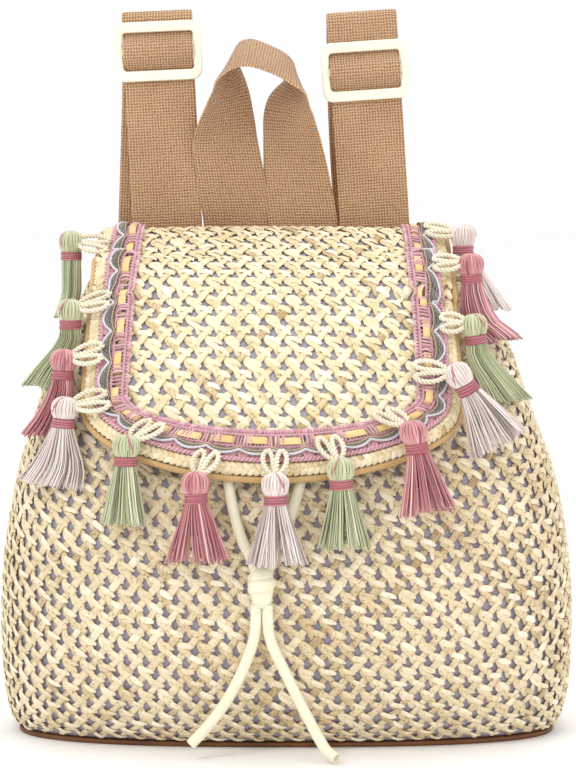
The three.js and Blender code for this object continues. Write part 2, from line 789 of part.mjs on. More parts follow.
// Drawstring: two strands from the mouth's hem to the knot, and two tails, the right one reaching the
// floor. Their routes are chosen points.
const strandLeft = [
  [-31, 1, 233],
  [-31.5, -6.1, 227],
  [-32, -19.9, 213],
  [-32, -36.3, 191],
  [-31, -49.7, 168],
  [-29.5, -60.8, 145],
  [-27.5, -66.2, 130],
  [-22.5, -70.7, 112],
  [-17, -73.8, 101],
  [-15.2, -76.3, 96.3],
];
const strandRight = [
  [14, 1, 233],
  [14, -6.1, 227],
  [13.5, -19.9, 213],
  [12.5, -36.3, 191],
  [10.5, -49.7, 168],
  [8, -61, 145],
  [4.5, -66.2, 130],
  [-3, -70.7, 112],
  [-8, -73.8, 101],
  [-9.3, -76.3, 96.3],
];
const tailLeft = [
  [-15.3, -77.3, 79.4],
  [-16.2, -77.5, 72],
  [-18, -77.6, 62],
  [-22, -77, 46],
  [-30, -76, 30.5],
  [-40, -75.5, 17],
  [-48, -76.5, 8.5],
];
const tailRight = [
  [-9.2, -77.3, 79.4],
  [-8.2, -77.5, 72],
  [-6, -77.6, 62],
  [0.5, -77.2, 43],
  [8.5, -76.8, 26.5],
  [16, -78, 12.5],
  [20, -80.5, 6.5],
  [25, -84.5, 3.4],
];
const cords = { left: strandLeft, right: strandRight, tail_left: tailLeft, tail_right: tailRight };
Object.entries(cords).forEach(([end, points]) => {
  const route = points.map(([x, y, z]) => new THREE.Vector3(x, y, z));
  const name = "drawstring_" + end;
  addPiece(name, roundTube(route, cordWidth, 8, points.length + 1), ivoryCord, 0.45);
});

// The knot: a flattened ball with a waist where the strands cross
const knotPlace = new THREE.Vector3(-12.3, -77.5, 87.5);
const knotSections = [
  // along, width, thickness: along as a share of knotWidth, the others of knotWidth too
  [-0.48, 0.82, 0.5],
  [-0.3, 1, 0.72],
  [-0.05, 0.94, 0.76],
  [0.12, 0.98, 0.76],
  [0.32, 0.96, 0.7],
  [0.48, 0.8, 0.5],
];
addPiece(
  "drawstring_knot",
  loft(
    knotSections.map(([along, width, thickness]) => {
      const ring = [];
      for (let i = 0; i < 12; i++) {
        const angle = (2 * Math.PI * i) / 12;
        ring.push(
          new THREE.Vector3(
            knotPlace.x + (width * knotWidth * Math.cos(angle)) / 2,
            knotPlace.y + (thickness * knotWidth * Math.sin(angle)) / 2,
            knotPlace.z + along * knotWidth,
          ),
        );
      }
      return ring;
    }),
  ),
  ivoryCord,
  0.45,
);

backpack.updateMatrixWorld(true);
export default backpack;
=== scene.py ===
"""Builds a woven straw backpack as a Blender add-on: straw weave, lining, trims, tassels, webbing and cord."""
import math

import bpy
import numpy as np
from bpy.props import FloatProperty, IntProperty, PointerProperty
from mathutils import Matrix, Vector


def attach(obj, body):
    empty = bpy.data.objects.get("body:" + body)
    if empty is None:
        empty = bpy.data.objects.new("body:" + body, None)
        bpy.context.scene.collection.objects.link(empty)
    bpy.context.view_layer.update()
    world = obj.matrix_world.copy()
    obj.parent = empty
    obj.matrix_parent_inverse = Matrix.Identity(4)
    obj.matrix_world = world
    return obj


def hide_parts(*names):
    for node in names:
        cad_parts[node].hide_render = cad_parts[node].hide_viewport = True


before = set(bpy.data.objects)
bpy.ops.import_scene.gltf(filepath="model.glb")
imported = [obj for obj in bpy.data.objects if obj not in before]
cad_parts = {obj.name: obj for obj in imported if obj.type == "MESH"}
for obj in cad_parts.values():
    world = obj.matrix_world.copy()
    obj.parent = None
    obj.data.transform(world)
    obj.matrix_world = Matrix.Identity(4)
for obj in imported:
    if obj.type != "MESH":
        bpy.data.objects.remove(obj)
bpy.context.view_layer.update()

bl_info = {
    "name": "Woven Straw Backpack",
    "version": (1, 0, 0),
    "blender": (4, 5, 0),
    "location": "3D View > Sidebar > Backpack",
    "description": "Builds a woven straw backpack with tassels, webbing straps and a drawstring",
    "category": "Add Mesh",
}

# Sizes shared with the CAD model, in metres
BODY_WIDTH = 0.300
BODY_DEPTH = 0.129
BODY_HEIGHT = 0.244
FRONT_SQUARENESS = 2.6
BACK_SQUARENESS = 4.0
PLEATS = 12
BASE_PLATE = 0.0027
BASE_EDGE = 0.0012
HEM_HEIGHT = 0.008
HEM_SWELL = 0.0064
SEAT = 0.0003
FLAP_HALF = 0.0955
FLAP_BOW = 0.044
FLAP_SHIFT = -0.007
FLAP_CROWN = 0.005
FLAP_CURL = 0.008
FLAP_REST = 0.0018
FLAP_BESIDE = 0.008
HEM_NARROWING = 0.045
BINDING_WIDTH = 0.004
TRIM_BACK = 0.029
WEAVE_TOP = 0.0036
TRIM_FOOT = 0.0046
SCALLOP = 0.0185
TASSEL_LENGTH = 0.049
TASSEL_HEAD = 0.0134
SKIRT_REST = 0.00035
LOOP_LENGTH = 0.012
WEBBING_WIDTH = 0.038
WEBBING_THICK = 0.0015
STRAP_TOP = BODY_HEIGHT + 0.137
STRAP_FOLD = 0.004
STRAP_SEWN = 0.028
SLIDER_WIDTH = 0.047
SLIDER_HEIGHT = 0.032
SLIDER_THICK = 0.003
SLIDER_BAR = 0.0057
SLIDER_SIDE = 0.0042
SLIDER_CORNER = 0.0055
CENTRE_BAR = 0.0046
HANDLE_RISE = 0.113
CORD_WIDTH = 0.0056
KNOT_WIDTH = 0.015

# The camera that the photo fits: seen from the front, 5 degrees down, 1.3 m from the bag
CAMERA_TARGET = (0.0008, 0.0, 0.183)
CAMERA_DISTANCE = 1.3
CAMERA_ELEVATION = 5.0
CAMERA_LENS = 116.06

# Body sections: height, half width, lean, front, widest, back, pleat, as shares of the sizes above
BODY_SECTIONS = np.array([
    [0.0123, 0.472, 0, -0.364, 0.016, 0.388, 0],
    [0.037, 0.484, 0, -0.422, 0.008, 0.415, 0],
    [0.07, 0.491, 0, -0.469, 0, 0.43, 0],
    [0.123, 0.497, 0, -0.516, 0, 0.446, 0],
    [0.193, 0.4993, 0, -0.543, 0, 0.45, 0],
    [0.262, 0.5, 0, -0.55, 0, 0.45, 0],
    [0.361, 0.496, 0, -0.545, 0, 0.45, 0],
    [0.459, 0.486, 0, -0.523, 0.016, 0.446, 0],
    [0.566, 0.468, -0.001, -0.469, 0.031, 0.444, 0],
    [0.656, 0.444, -0.003, -0.391, 0.054, 0.442, 0],
    [0.746, 0.42, -0.005, -0.298, 0.085, 0.442, 0],
    [0.836, 0.397, -0.007, -0.182, 0.132, 0.442, 0.004],
    [0.91, 0.363, -0.008, -0.054, 0.186, 0.442, 0.01],
    [0.967, 0.338, -0.01, 0.07, 0.233, 0.442, 0.016],
    [1, 0.322, -0.012, 0.147, 0.26, 0.442, 0.02],
])

# The flap's inner face along its middle: depth and height as shares of the body's
FLAP_PROFILE = np.array([
    [0.445, 0.951], [0.446, 1], [0.437, 1.037], [0.399, 1.063], [0.341, 1.07], [0.264, 1.057],
    [0.167, 1.029], [0.078, 1.002], [0.004, 0.977], [-0.113, 0.921], [-0.205, 0.865],
    [-0.283, 0.809], [-0.35, 0.752], [-0.442, 0.662], [-0.522, 0.566],
])


# Small geometry helpers

def unit(v):
    v = np.asarray(v, dtype=float)
    return v / np.maximum(np.linalg.norm(v, axis=-1, keepdims=True), 1e-12)


def smooth(x, low, high):
    t = np.clip((x - low) / (high - low), 0, 1)
    return t * t * (3 - 2 * t)


def curve_through(points, count):
    """Points spaced evenly along a centripetal curve through the given ones."""
    p = np.asarray(points, dtype=float)
    p = np.vstack([2 * p[0] - p[1], p, 2 * p[-1] - p[-2]])
    out = []
    for i in range(1, len(p) - 2):
        t = np.cumsum([0, *(np.linalg.norm(p[i + k] - p[i + k - 1]) ** 0.5 + 1e-9 for k in (0, 1, 2))])
        s = np.linspace(t[1], t[2], 17)[:-1, None]
        a = [(t[k + 1] - s) / (t[k + 1] - t[k]) * p[i - 1 + k] + (s - t[k]) / (t[k + 1] - t[k]) * p[i + k]
             for k in range(3)]
        b = [(t[k + 2] - s) / (t[k + 2] - t[k]) * a[k] + (s - t[k]) / (t[k + 2] - t[k]) * a[k + 1]
             for k in range(2)]
        out.append((t[2] - s) / (t[2] - t[1]) * b[0] + (s - t[1]) / (t[2] - t[1]) * b[1])
    line = np.vstack([*out, p[-2]])
    return resample(line, count)


def run_along(line):
    """The length from a line's start to each of its points."""
    return np.r_[0, np.cumsum(np.linalg.norm(np.diff(line, axis=0), axis=1))]


def resample(line, count):
    run = run_along(line)
    at = np.linspace(0, run[-1], count)
    return np.stack([np.interp(at, run, line[:, k]) for k in range(line.shape[1])], axis=1)


def length_of(line):
    return float(np.linalg.norm(np.diff(np.asarray(line), axis=0), axis=1).sum())


def pair(a, b):
    """Two arrays spread to one shape, side by side on a last axis, as for a UV."""
    return np.stack(np.broadcast_arrays(a, b), axis=-1)


class Skin:
    """Collects grids of quads, with a UV in millimetres and a tone for each point, into one mesh."""

    def __init__(self):
        self.points, self.faces, self.uvs, self.tones = [], [], [], []
        self.count = 0

    def grid(self, points, uv=None, tone=0.5, close_rows=False, close_columns=False, flip=False):
        points = np.asarray(points, dtype=float)
        rows, columns = points.shape[:2]
        if uv is None:
            uv = pair(run_along(points[0]), run_along(points[:, 0])[:, None]) * 1000
        i = np.arange(rows if close_rows else rows - 1)
        j = np.arange(columns if close_columns else columns - 1)
        a, b = np.meshgrid(i, j, indexing="ij")
        a2, b2 = (a + 1) % rows, (b + 1) % columns
        quads = np.stack([a * columns + b, a * columns + b2, a2 * columns + b2, a2 * columns + b], axis=-1)
        quads = quads.reshape(-1, 4) + self.count
        self.faces.append(quads[:, ::-1] if flip else quads)
        self.points.append(points.reshape(-1, 3))
        self.uvs.append(np.broadcast_to(uv, (rows, columns, 2)).reshape(-1, 2))
        self.tones.append(np.broadcast_to(tone, (rows, columns)).reshape(-1))
        self.count += rows * columns

    def tube(self, line, radius, sides=6, tone=0.5, normal=None, inward=None, painted_shade=0.45):
        """A round strand along a line, closed to a point at each end; its inward side is darkened with painted shade.
        """
        line = np.asarray(line, dtype=float)
        radius = np.broadcast_to(radius, len(line)).astype(float)
        ring, angle = circles(line, sides, normal)
        body = line[:, None] + ring * radius[:, None, None]
        ends = [np.repeat(line[:1, None], sides, axis=1), np.repeat(line[-1:, None], sides, axis=1)]
        points = np.concatenate([ends[0], body, ends[1]])
        run = run_along(line) * 1000
        uv = pair(angle * radius.mean() * 1000, np.r_[run[0], run, run[-1]][:, None])
        tones = np.broadcast_to(np.reshape(tone, (-1, 1)), (len(line), sides))
        if inward is not None:
            # Painted shade: points on the side that faces inward are darkened in the tone.
            facing = np.sum(ring * np.broadcast_to(inward, line.shape)[:, None], axis=2)
            tones = tones - painted_shade * np.clip(facing + 0.25, 0, 1)
        tones = np.concatenate([tones[:1], tones, tones[-1:]])
        self.grid(points, uv, np.clip(tones, 0, 1), close_columns=True)

    def object(self, name, look, replaces):
        mesh = bpy.data.meshes.new(name)
        points = np.concatenate(self.points)
        faces = np.concatenate(self.faces)
        mesh.vertices.add(len(points))
        mesh.vertices.foreach_set("co", points.astype(np.float32).ravel())
        mesh.loops.add(faces.size)
        mesh.loops.foreach_set("vertex_index", faces.astype(np.int32).ravel())
        mesh.polygons.add(len(faces))
        mesh.polygons.foreach_set("loop_start", np.arange(0, faces.size, 4, dtype=np.int32))
        mesh.update(calc_edges=True)
        layer = mesh.uv_layers.new(name="strand")
        layer.data.foreach_set("uv", np.concatenate(self.uvs)[faces.ravel()].astype(np.float32).ravel())
        tone = mesh.attributes.new("tone", "FLOAT", "POINT")
        tone.data.foreach_set("value", np.concatenate(self.tones).astype(np.float32))
        mesh.polygons.foreach_set("use_smooth", np.full(len(faces), True))
        mesh.validate()
        obj = bpy.data.objects.new(name, mesh)
        bpy.context.scene.collection.objects.link(obj)
        obj.data.materials.append(material(look))
        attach(obj, "root")
        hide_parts(*replaces)
        return obj


def frames(line, normal=None):
    """Two directions across a line at each point; the second follows the normal where one is given."""
    tangent = unit(np.gradient(line, axis=0))
    if normal is not None:
        side = unit(np.cross(tangent, np.broadcast_to(normal, line.shape)))
        return side, unit(np.cross(side, tangent))
    side = np.zeros_like(line)
    guess = np.array([0.0, 0.0, 1.0]) if abs(tangent[0][2]) < 0.9 else np.array([1.0, 0.0, 0.0])
    previous = unit(np.cross(tangent[0], guess))
    for i, t in enumerate(tangent):
        previous = unit(previous - t * np.dot(previous, t))
        side[i] = previous
    return side, np.cross(tangent, side)


def circles(line, sides, normal=None):
    """The unit circle across a line at each of its points, and the angles round it."""
    a, b = frames(line, normal)
    angle = np.linspace(0, 2 * np.pi, sides, endpoint=False)
    return a[:, None] * np.cos(angle)[None, :, None] + b[:, None] * np.sin(angle)[None, :, None], angle


def signed_power(value, power):
    """A power that keeps the sign, which squares up a circle."""
    return math.copysign(abs(value) ** power, value)


def rope(skin, line, radius, pitch, plies=2, sides=5, tone=0.5, step=None, normal=None):
    """A twisted cord: plies wound round a line."""
    count = max(int(length_of(line) / (step or pitch / 8)), 6)
    line = resample(np.asarray(line, dtype=float), count)
    if normal is not None and np.ndim(normal) == 2:
        normal = resample_like(normal, count)
    a, b = frames(line, normal)
    run = np.linspace(0, length_of(line), count)
    for k in range(plies):
        turn = 2 * np.pi * (run / pitch + k / plies)
        offset = a * np.cos(turn)[:, None] + b * np.sin(turn)[:, None]
        # Painted shade: each ply is darker on its side towards the cord's middle, where the plies press together.
        skin.tube(line + offset * radius * 0.5, radius * 0.56, sides, tone + 0.08 * (k - 0.5), inward=-offset)


def resample_like(values, count):
    at = np.linspace(0, len(values) - 1, count)
    return np.stack([np.interp(at, np.arange(len(values)), values[:, k]) for k in range(3)], axis=1)


def stitch(skin, centre, along, normal, length, width, height, tone=0.5):
    """One lens of straw or yarn lying on a surface, its ends tucked under."""
    along, normal = unit(along), unit(normal)
    side = np.cross(normal, along)
    t = np.linspace(-1, 1, 6)
    w = np.linspace(-1, 1, 5)
    wide = np.sqrt(np.clip(1 - 0.86 * t ** 4, 0, 1))
    lift = height * (1 - 1.6 * t ** 2)
    crown = 1 - w ** 2
    points = (
        centre
        + t[:, None, None] * along * length / 2
        + (wide[:, None] * w)[:, :, None] * side * width / 2
        + (lift[:, None] * 0.6 + height * 0.4 * wide[:, None] * crown - 0.35 * height * (w ** 2))[:, :, None] * normal
    )
    skin.grid(points, pair(w * width * 500, t[:, None] * length * 500), tone)


# The bag's surface

def section_at(z):
    """The body's section at a height: half width, lean, front, widest, back and pleat."""
    share = min(max(z / BODY_HEIGHT, BODY_SECTIONS[0, 0]), 1.0)
    x = BODY_SECTIONS[:, 0]
    y = BODY_SECTIONS[:, 1:]
    i = int(min(max(np.searchsorted(x, share) - 1, 0), len(x) - 2))
    h = x[i + 1] - x[i]
    t = (share - x[i]) / h

    def slope(k):
        if k == 0:
            return (y[1] - y[0]) / (x[1] - x[0])
        if k == len(x) - 1:
            return (y[-1] - y[-2]) / (x[-1] - x[-2])
        return (y[k + 1] - y[k - 1]) / (x[k + 1] - x[k - 1])

    m0, m1 = slope(i) * h, slope(i + 1) * h
    value = (
        (2 * t ** 3 - 3 * t ** 2 + 1) * y[i] + (t ** 3 - 2 * t ** 2 + t) * m0
        + (-2 * t ** 3 + 3 * t ** 2) * y[i + 1] + (t ** 3 - t ** 2) * m1
    )
    sizes = [BODY_WIDTH, BODY_WIDTH, BODY_DEPTH, BODY_DEPTH, BODY_DEPTH, 1]
    return value * sizes


RING = 720  # points round the body


def ring_at(z, out=0.0, count=RING, swell=0.0):
    """A ring of the body from the middle of the front, evenly spaced, anticlockwise from above."""
    half, lean, front, widest, back, pleat = section_at(z)
    angle = -np.pi / 2 + np.linspace(0, 2 * np.pi, 1441)
    c, n = np.cos(angle), np.sin(angle)
    ahead = n < 0
    power = 2 / np.where(ahead, FRONT_SQUARENESS, BACK_SQUARENESS)
    reach = np.where(ahead, widest - front + swell, back - widest) + out
    x = lean + (half + out) * np.sign(c) * np.abs(c) ** power
    y = widest + reach * np.sign(n) * np.abs(n) ** power
    line = resample(np.stack([x, y, np.full_like(x, z)], axis=1), count + 1)[:-1]
    facing = np.clip((widest - line[:, 1]) / (widest - front), 0, 1)
    wave = pleat * facing * (np.cos(2 * np.pi * PLEATS * np.arange(count) / count) - 1)
    middle = np.array([lean, widest, z])
    return (line - middle) * (1 + wave)[:, None] + middle


class Surface:
    """A grid of points with outward normals, read between its points."""

    def __init__(self, points, wrap):
        self.points = points
        self.wrap = wrap
        down = np.gradient(points, axis=0)
        if wrap:
            over = (np.roll(points, -1, axis=1) - np.roll(points, 1, axis=1)) / 2
        else:
            over = np.gradient(points, axis=1)
        self.normals = unit(np.cross(over, down))

    def read(self, table, row, column):
        rows, columns = table.shape[:2]
        row = np.clip(row, 0, rows - 1.001)
        i = row.astype(int)
        f = (row - i)[..., None]
        if self.wrap:
            column = np.mod(column, columns)
            j = column.astype(int) % columns
            k = (j + 1) % columns
        else:
            column = np.clip(column, 0, columns - 1.001)
            j = column.astype(int)
            k = j + 1
        g = (column - np.floor(column))[..., None]
        near = table[i, j] * (1 - g) + table[i, k] * g
        far = table[i + 1, j] * (1 - g) + table[i + 1, k] * g
        return near * (1 - f) + far * f

    def at(self, row, column, out):
        row, column = np.asarray(row, dtype=float), np.asarray(column, dtype=float)
        row, column = np.broadcast_arrays(row, column)
        normal = unit(self.read(self.normals, row, column))
        return self.read(self.points, row, column) + normal * np.asarray(out)[..., None], normal


LEVELS = np.linspace(BASE_PLATE, BODY_HEIGHT, 161)
ROWS = np.arange(len(LEVELS))
BODY = Surface(np.stack([ring_at(z) for z in LEVELS]), wrap=True)
GIRTHS = np.array([length_of(np.vstack([ring, ring[:1]])) for ring in BODY.points])
FRONT_RISE = run_along(BODY.points[:, 0])
BACK_RISE = run_along(BODY.points[:, RING // 2])

# The girth from the middle of the front to the widest point of the side, at each level
SEAM = np.array([np.argmax(ring[:RING // 2, 0]) / RING for ring in BODY.points]) * GIRTHS


def clear_of_body(p, rest, more=0.0):
    if p[2] > BODY_HEIGHT + rest:
        return True
    margin = rest + more * float(smooth(p[2], BODY_HEIGHT - HEM_HEIGHT - 0.025, BODY_HEIGHT - HEM_HEIGHT))
    half, lean, front, widest, back, _ = section_at(p[2])
    ahead = p[1] < widest
    power = FRONT_SQUARENESS if ahead else BACK_SQUARENESS
    swell = HEM_SWELL if ahead and p[2] > BODY_HEIGHT - HEM_HEIGHT - margin else 0.0
    reach = (widest - front + swell if ahead else back - widest) + margin
    return (abs(p[0] - lean) / (half + margin)) ** power + (abs(p[1] - widest) / reach) ** power >= 1


def rest_on_body(p, margin):
    _, lean, _, widest, _, _ = section_at(p[2])
    away = unit([p[0] - lean, p[1] - widest, 0.0]) * 0.00025
    q = np.array(p, dtype=float)
    while not clear_of_body(q, margin):
        q += away
    return q


# The flap's surface: across from its middle, and along from its hem over the mouth and down the front

FLAP_LINE = curve_through(np.c_[np.zeros(len(FLAP_PROFILE)), FLAP_PROFILE * [BODY_DEPTH, BODY_HEIGHT]], 400)
FLAP_REACH = length_of(FLAP_LINE)
FLAP_END = FLAP_REACH - BINDING_WIDTH - SEAT
BOW_START = FLAP_END - FLAP_BOW
FLAP_MARGIN = 0.02
FLAP_ACROSS = np.linspace(-FLAP_HALF - 0.012, FLAP_HALF + 0.012, 73)
FLAP_ALONG = np.linspace(0, FLAP_REACH + FLAP_MARGIN, 105)


def flap_face(across, along):
    u = min(max(along / FLAP_REACH, 0), 1)
    at = u * (len(FLAP_LINE) - 1)
    i = min(int(at), len(FLAP_LINE) - 2)
    line = FLAP_LINE[i] + (FLAP_LINE[i + 1] - FLAP_LINE[i]) * (at - i)
    tangent = unit(FLAP_LINE[min(i + 3, len(FLAP_LINE) - 1)] - FLAP_LINE[max(i - 2, 0)])
    line = line + tangent * (along - u * FLAP_REACH)
    outward = np.array([0, tangent[2], -tangent[1]])
    share = across / FLAP_HALF
    fold = float(smooth(u, 0.08, 0.34))
    drop = (FLAP_CROWN * share ** 2 + FLAP_CURL * share ** 6) * fold
    line[0] = FLAP_SHIFT + across * (1 - 0.02 * share ** 4)
    if clear_of_body(line - outward * drop, FLAP_REST, FLAP_BESIDE):
        return line - outward * drop
    low, high = 0.0, 1.0
    for _ in range(10):
        middle = (low + high) / 2
        if clear_of_body(line - outward * drop * middle, FLAP_REST, FLAP_BESIDE):
            low = middle
        else:
            high = middle
    return line - outward * drop * low


FLAP = Surface(np.array([[flap_face(a, s) for a in FLAP_ACROSS[::-1]] for s in FLAP_ALONG]), wrap=False)


def flap_point(across, along, height):
    column = (FLAP_ACROSS[-1] - np.asarray(across)) / (FLAP_ACROSS[1] - FLAP_ACROSS[0])
    row = np.asarray(along) / (FLAP_ALONG[1] - FLAP_ALONG[0])
    return FLAP.at(row, column, height)


# The flap's edge: runs from the left end of the hem round to the right end

BOW_ANGLES = np.linspace(0, np.pi, 601)
BOW_RUN = np.r_[0, np.cumsum(np.hypot(
    np.diff(FLAP_HALF * np.cos(BOW_ANGLES)), np.diff(FLAP_BOW * np.sin(BOW_ANGLES))))]
BOW_LENGTH = BOW_RUN[-1]
EDGE_LENGTH = 2 * BOW_START + BOW_LENGTH


def edge_place(share, inset):
    """Across and along for places round the edge."""
    run = np.asarray(share, dtype=float) * EDGE_LENGTH
    inset = np.broadcast_to(inset, run.shape)
    angle = np.interp(run - BOW_START, BOW_RUN, BOW_ANGLES)
    bow = (run > BOW_START) & (run < BOW_START + BOW_LENGTH)
    left = run <= BOW_START
    along = np.where(left, run, EDGE_LENGTH - run)
    half = FLAP_HALF * (1 - HEM_NARROWING * (1 - along / BOW_START)) - inset
    across = np.where(bow, -(FLAP_HALF - inset) * np.cos(angle), np.where(left, -half, half))
    return across, np.where(bow, BOW_START + (FLAP_BOW - inset) * np.sin(angle), along)


def edge_point(share, inset, height):
    across, along = edge_place(share, inset)
    return flap_point(across, along, height)


# Materials

def linear(hex_colour):
    values = [int(hex_colour[i:i + 2], 16) / 255 for i in (1, 3, 5)]
    return [v / 12.92 if v <= 0.04045 else ((v + 0.055) / 1.055) ** 2.4 for v in values] + [1.0]


def node(tree, kind, settings=None, links=None):
    """Adds a shader node, sets its properties and sockets, and links other nodes' sockets into it."""
    made = tree.nodes.new("ShaderNode" + kind)
    for key, value in (settings or {}).items():
        if isinstance(key, str) and hasattr(made, key):
            setattr(made, key, value)
        else:
            made.inputs[key].default_value = value
    for key, source in (links or {}).items():
        tree.links.new(source, made.inputs[key])
    return made


def calc(tree, operation, *inputs):
    """A Math node's output. Each input is a number or another node's output."""
    made = node(tree, "Math", {"operation": operation})
    for place, value in enumerate(inputs):
        if isinstance(value, (int, float)):
            made.inputs[place].default_value = value
        else:
            tree.links.new(value, made.inputs[place])
    return made.outputs["Value"]


def noise(tree, vector, scale, detail=2.0, roughness=0.5):
    settings = {"Scale": scale, "Detail": detail, "Roughness": roughness}
    return node(tree, "TexNoise", settings, {"Vector": vector}).outputs["Fac"]


def map_range(tree, value, low, high, to=1.0):
    """0 up to low, to from high on, and evenly between."""
    limits = {"From Min": low, "From Max": high, "To Max": to}
    return node(tree, "MapRange", limits, {"Value": value}).outputs["Result"]


def ramp(tree, factor, stops):
    made = node(tree, "ValToRGB", links={"Fac": factor})
    elements = made.color_ramp.elements
    while len(elements) < len(stops):
        elements.new(0.5)
    for element, (place, colour) in zip(elements, stops):
        element.position = place
        element.color = linear(colour)
    return made.outputs["Color"]


def new_material(name):
    """A material with its tree, its surface, and the position and strand coordinates that patterns use."""
    material = bpy.data.materials.new(name)
    material.use_nodes = True
    tree = material.node_tree
    tree.nodes.clear()
    surface = node(tree, "BsdfPrincipled")
    output = node(tree, "OutputMaterial", links={"Surface": surface.outputs["BSDF"]})
    output.target = "ALL"
    position = node(tree, "NewGeometry").outputs["Position"]
    strand = node(tree, "UVMap", {"uv_map": "strand"}).outputs["UV"]
    return material, tree, surface, position, strand


def axes(tree, vector):
    parts = node(tree, "SeparateXYZ", links={"Vector": vector})
    return parts.outputs["X"], parts.outputs["Y"]


def dress(tree, surface, colour, roughness, height, strength, distance):
    """Links a colour and a bump into a surface, and sets its roughness."""
    tree.links.new(colour, surface.inputs["Base Color"])
    bump = node(tree, "Bump", {"Strength": strength, "Distance": distance}, {"Height": height})
    tree.links.new(bump.outputs["Normal"], surface.inputs["Normal"])
    surface.inputs["Roughness"].default_value = roughness


def fibre(name, shades, roughness, across_mm, along_mm, relief, tone_weight=0.6, sheen=0.0, metallic=0.0,
          edge_mm=0.0, flecks=0.0):
    """A fibrous material: streaks along each strand, a tone of its own for each strand, and fine relief."""
    material, tree, surface, position, strand = new_material(name)
    scaled = node(tree, "Mapping", {"Scale": (1 / across_mm, 1 / along_mm, 1)}, {"Vector": strand})
    streaks = noise(tree, scaled.outputs["Vector"], 1.0, 4.0, 0.6)
    tone = node(tree, "Attribute", {"attribute_name": "tone"}).outputs["Fac"]
    total = calc(tree, "MULTIPLY", tone, tone_weight)
    total = calc(tree, "MULTIPLY_ADD", streaks, (1 - tone_weight) * 0.7, total)
    total = calc(tree, "MULTIPLY_ADD", noise(tree, position, 70.0), (1 - tone_weight) * 0.3, total)
    if edge_mm:
        across = calc(tree, "ABSOLUTE", axes(tree, strand)[0])
        total = calc(tree, "ADD", total, map_range(tree, across, edge_mm, edge_mm + 0.6, -0.3))
    if flecks:
        total = calc(tree, "ADD", total, map_range(tree, noise(tree, position, 750.0), 0.56, 0.68, -flecks))
    colour = ramp(tree, total, list(zip(np.linspace(0.2, 0.8, len(shades)), shades)))
    dress(tree, surface, colour, roughness, streaks, 0.7, relief)
    surface.inputs["Metallic"].default_value = metallic
    surface.inputs["Sheen Weight"].default_value = sheen
    return material


def webbing_material(name, pitch_mm, shades):
    """Webbing in a basket weave: two yarn directions cross at the pitch, which gives a pitted, uneven grid."""
    material, tree, surface, position, strand = new_material(name)
    waves = []
    for axis, scale in zip(axes(tree, strand), (260.0, 330.0)):
        sway = calc(tree, "MULTIPLY", noise(tree, position, scale, 1.0), 2.2)
        waves.append(calc(tree, "SINE", calc(tree, "MULTIPLY_ADD", axis, math.pi / pitch_mm, sway)))
    over = calc(tree, "MULTIPLY", *waves)
    yarns = [calc(tree, "MULTIPLY_ADD", over, 0.5 * sign, calc(tree, "ABSOLUTE", wave))
             for wave, sign in zip(waves, (1, -1))]
    height = calc(tree, "MULTIPLY_ADD", noise(tree, position, 900.0, 3.0), 0.35, calc(tree, "MAXIMUM", *yarns))
    # The colour follows the height, so the pits between the yarns get painted shade and the yarn tops painted light,
    # over an uneven mottle.
    mottle_and_pit_shade = calc(tree, "MULTIPLY_ADD", noise(tree, position, 35.0, 3.0), 0.5, height)
    colour = ramp(tree, map_range(tree, mottle_and_pit_shade, 0.25, 1.9), list(zip((0.0, 0.4, 0.75, 1.0), shades)))
    dress(tree, surface, colour, 0.85, height, 0.9, 0.0006)
    surface.inputs["Sheen Weight"].default_value = 0.15
    return material


def cloth_material(name, dark, light, pitch_mm=0.45):
    """Plain woven lining: fine threads both ways, matt, so that it reads as a soft grey behind the straw."""
    material, tree, surface, position, strand = new_material(name)
    waves = [calc(tree, "SINE", calc(tree, "MULTIPLY", axis, math.pi / pitch_mm)) for axis in axes(tree, strand)]
    mixed = calc(tree, "MULTIPLY_ADD", calc(tree, "MULTIPLY", *waves), 0.25, noise(tree, position, 60.0, 4.0))
    dress(tree, surface, ramp(tree, mixed, [(0.25, dark), (0.75, light)]), 0.9, mixed, 0.5, 0.0004)
    return material


def grained_material(name, dark, light, roughness, scale, relief, coat=0.0):
    """A moulded or tanned surface: fine grain in its relief, and a little variation in its colour."""
    material, tree, surface, position, _ = new_material(name)
    colour = ramp(tree, noise(tree, position, 40.0), [(0.3, dark), (0.7, light)])
    dress(tree, surface, colour, roughness, noise(tree, position, scale, 5.0), 0.4, relief)
    surface.inputs["Coat Weight"].default_value = coat
    return material
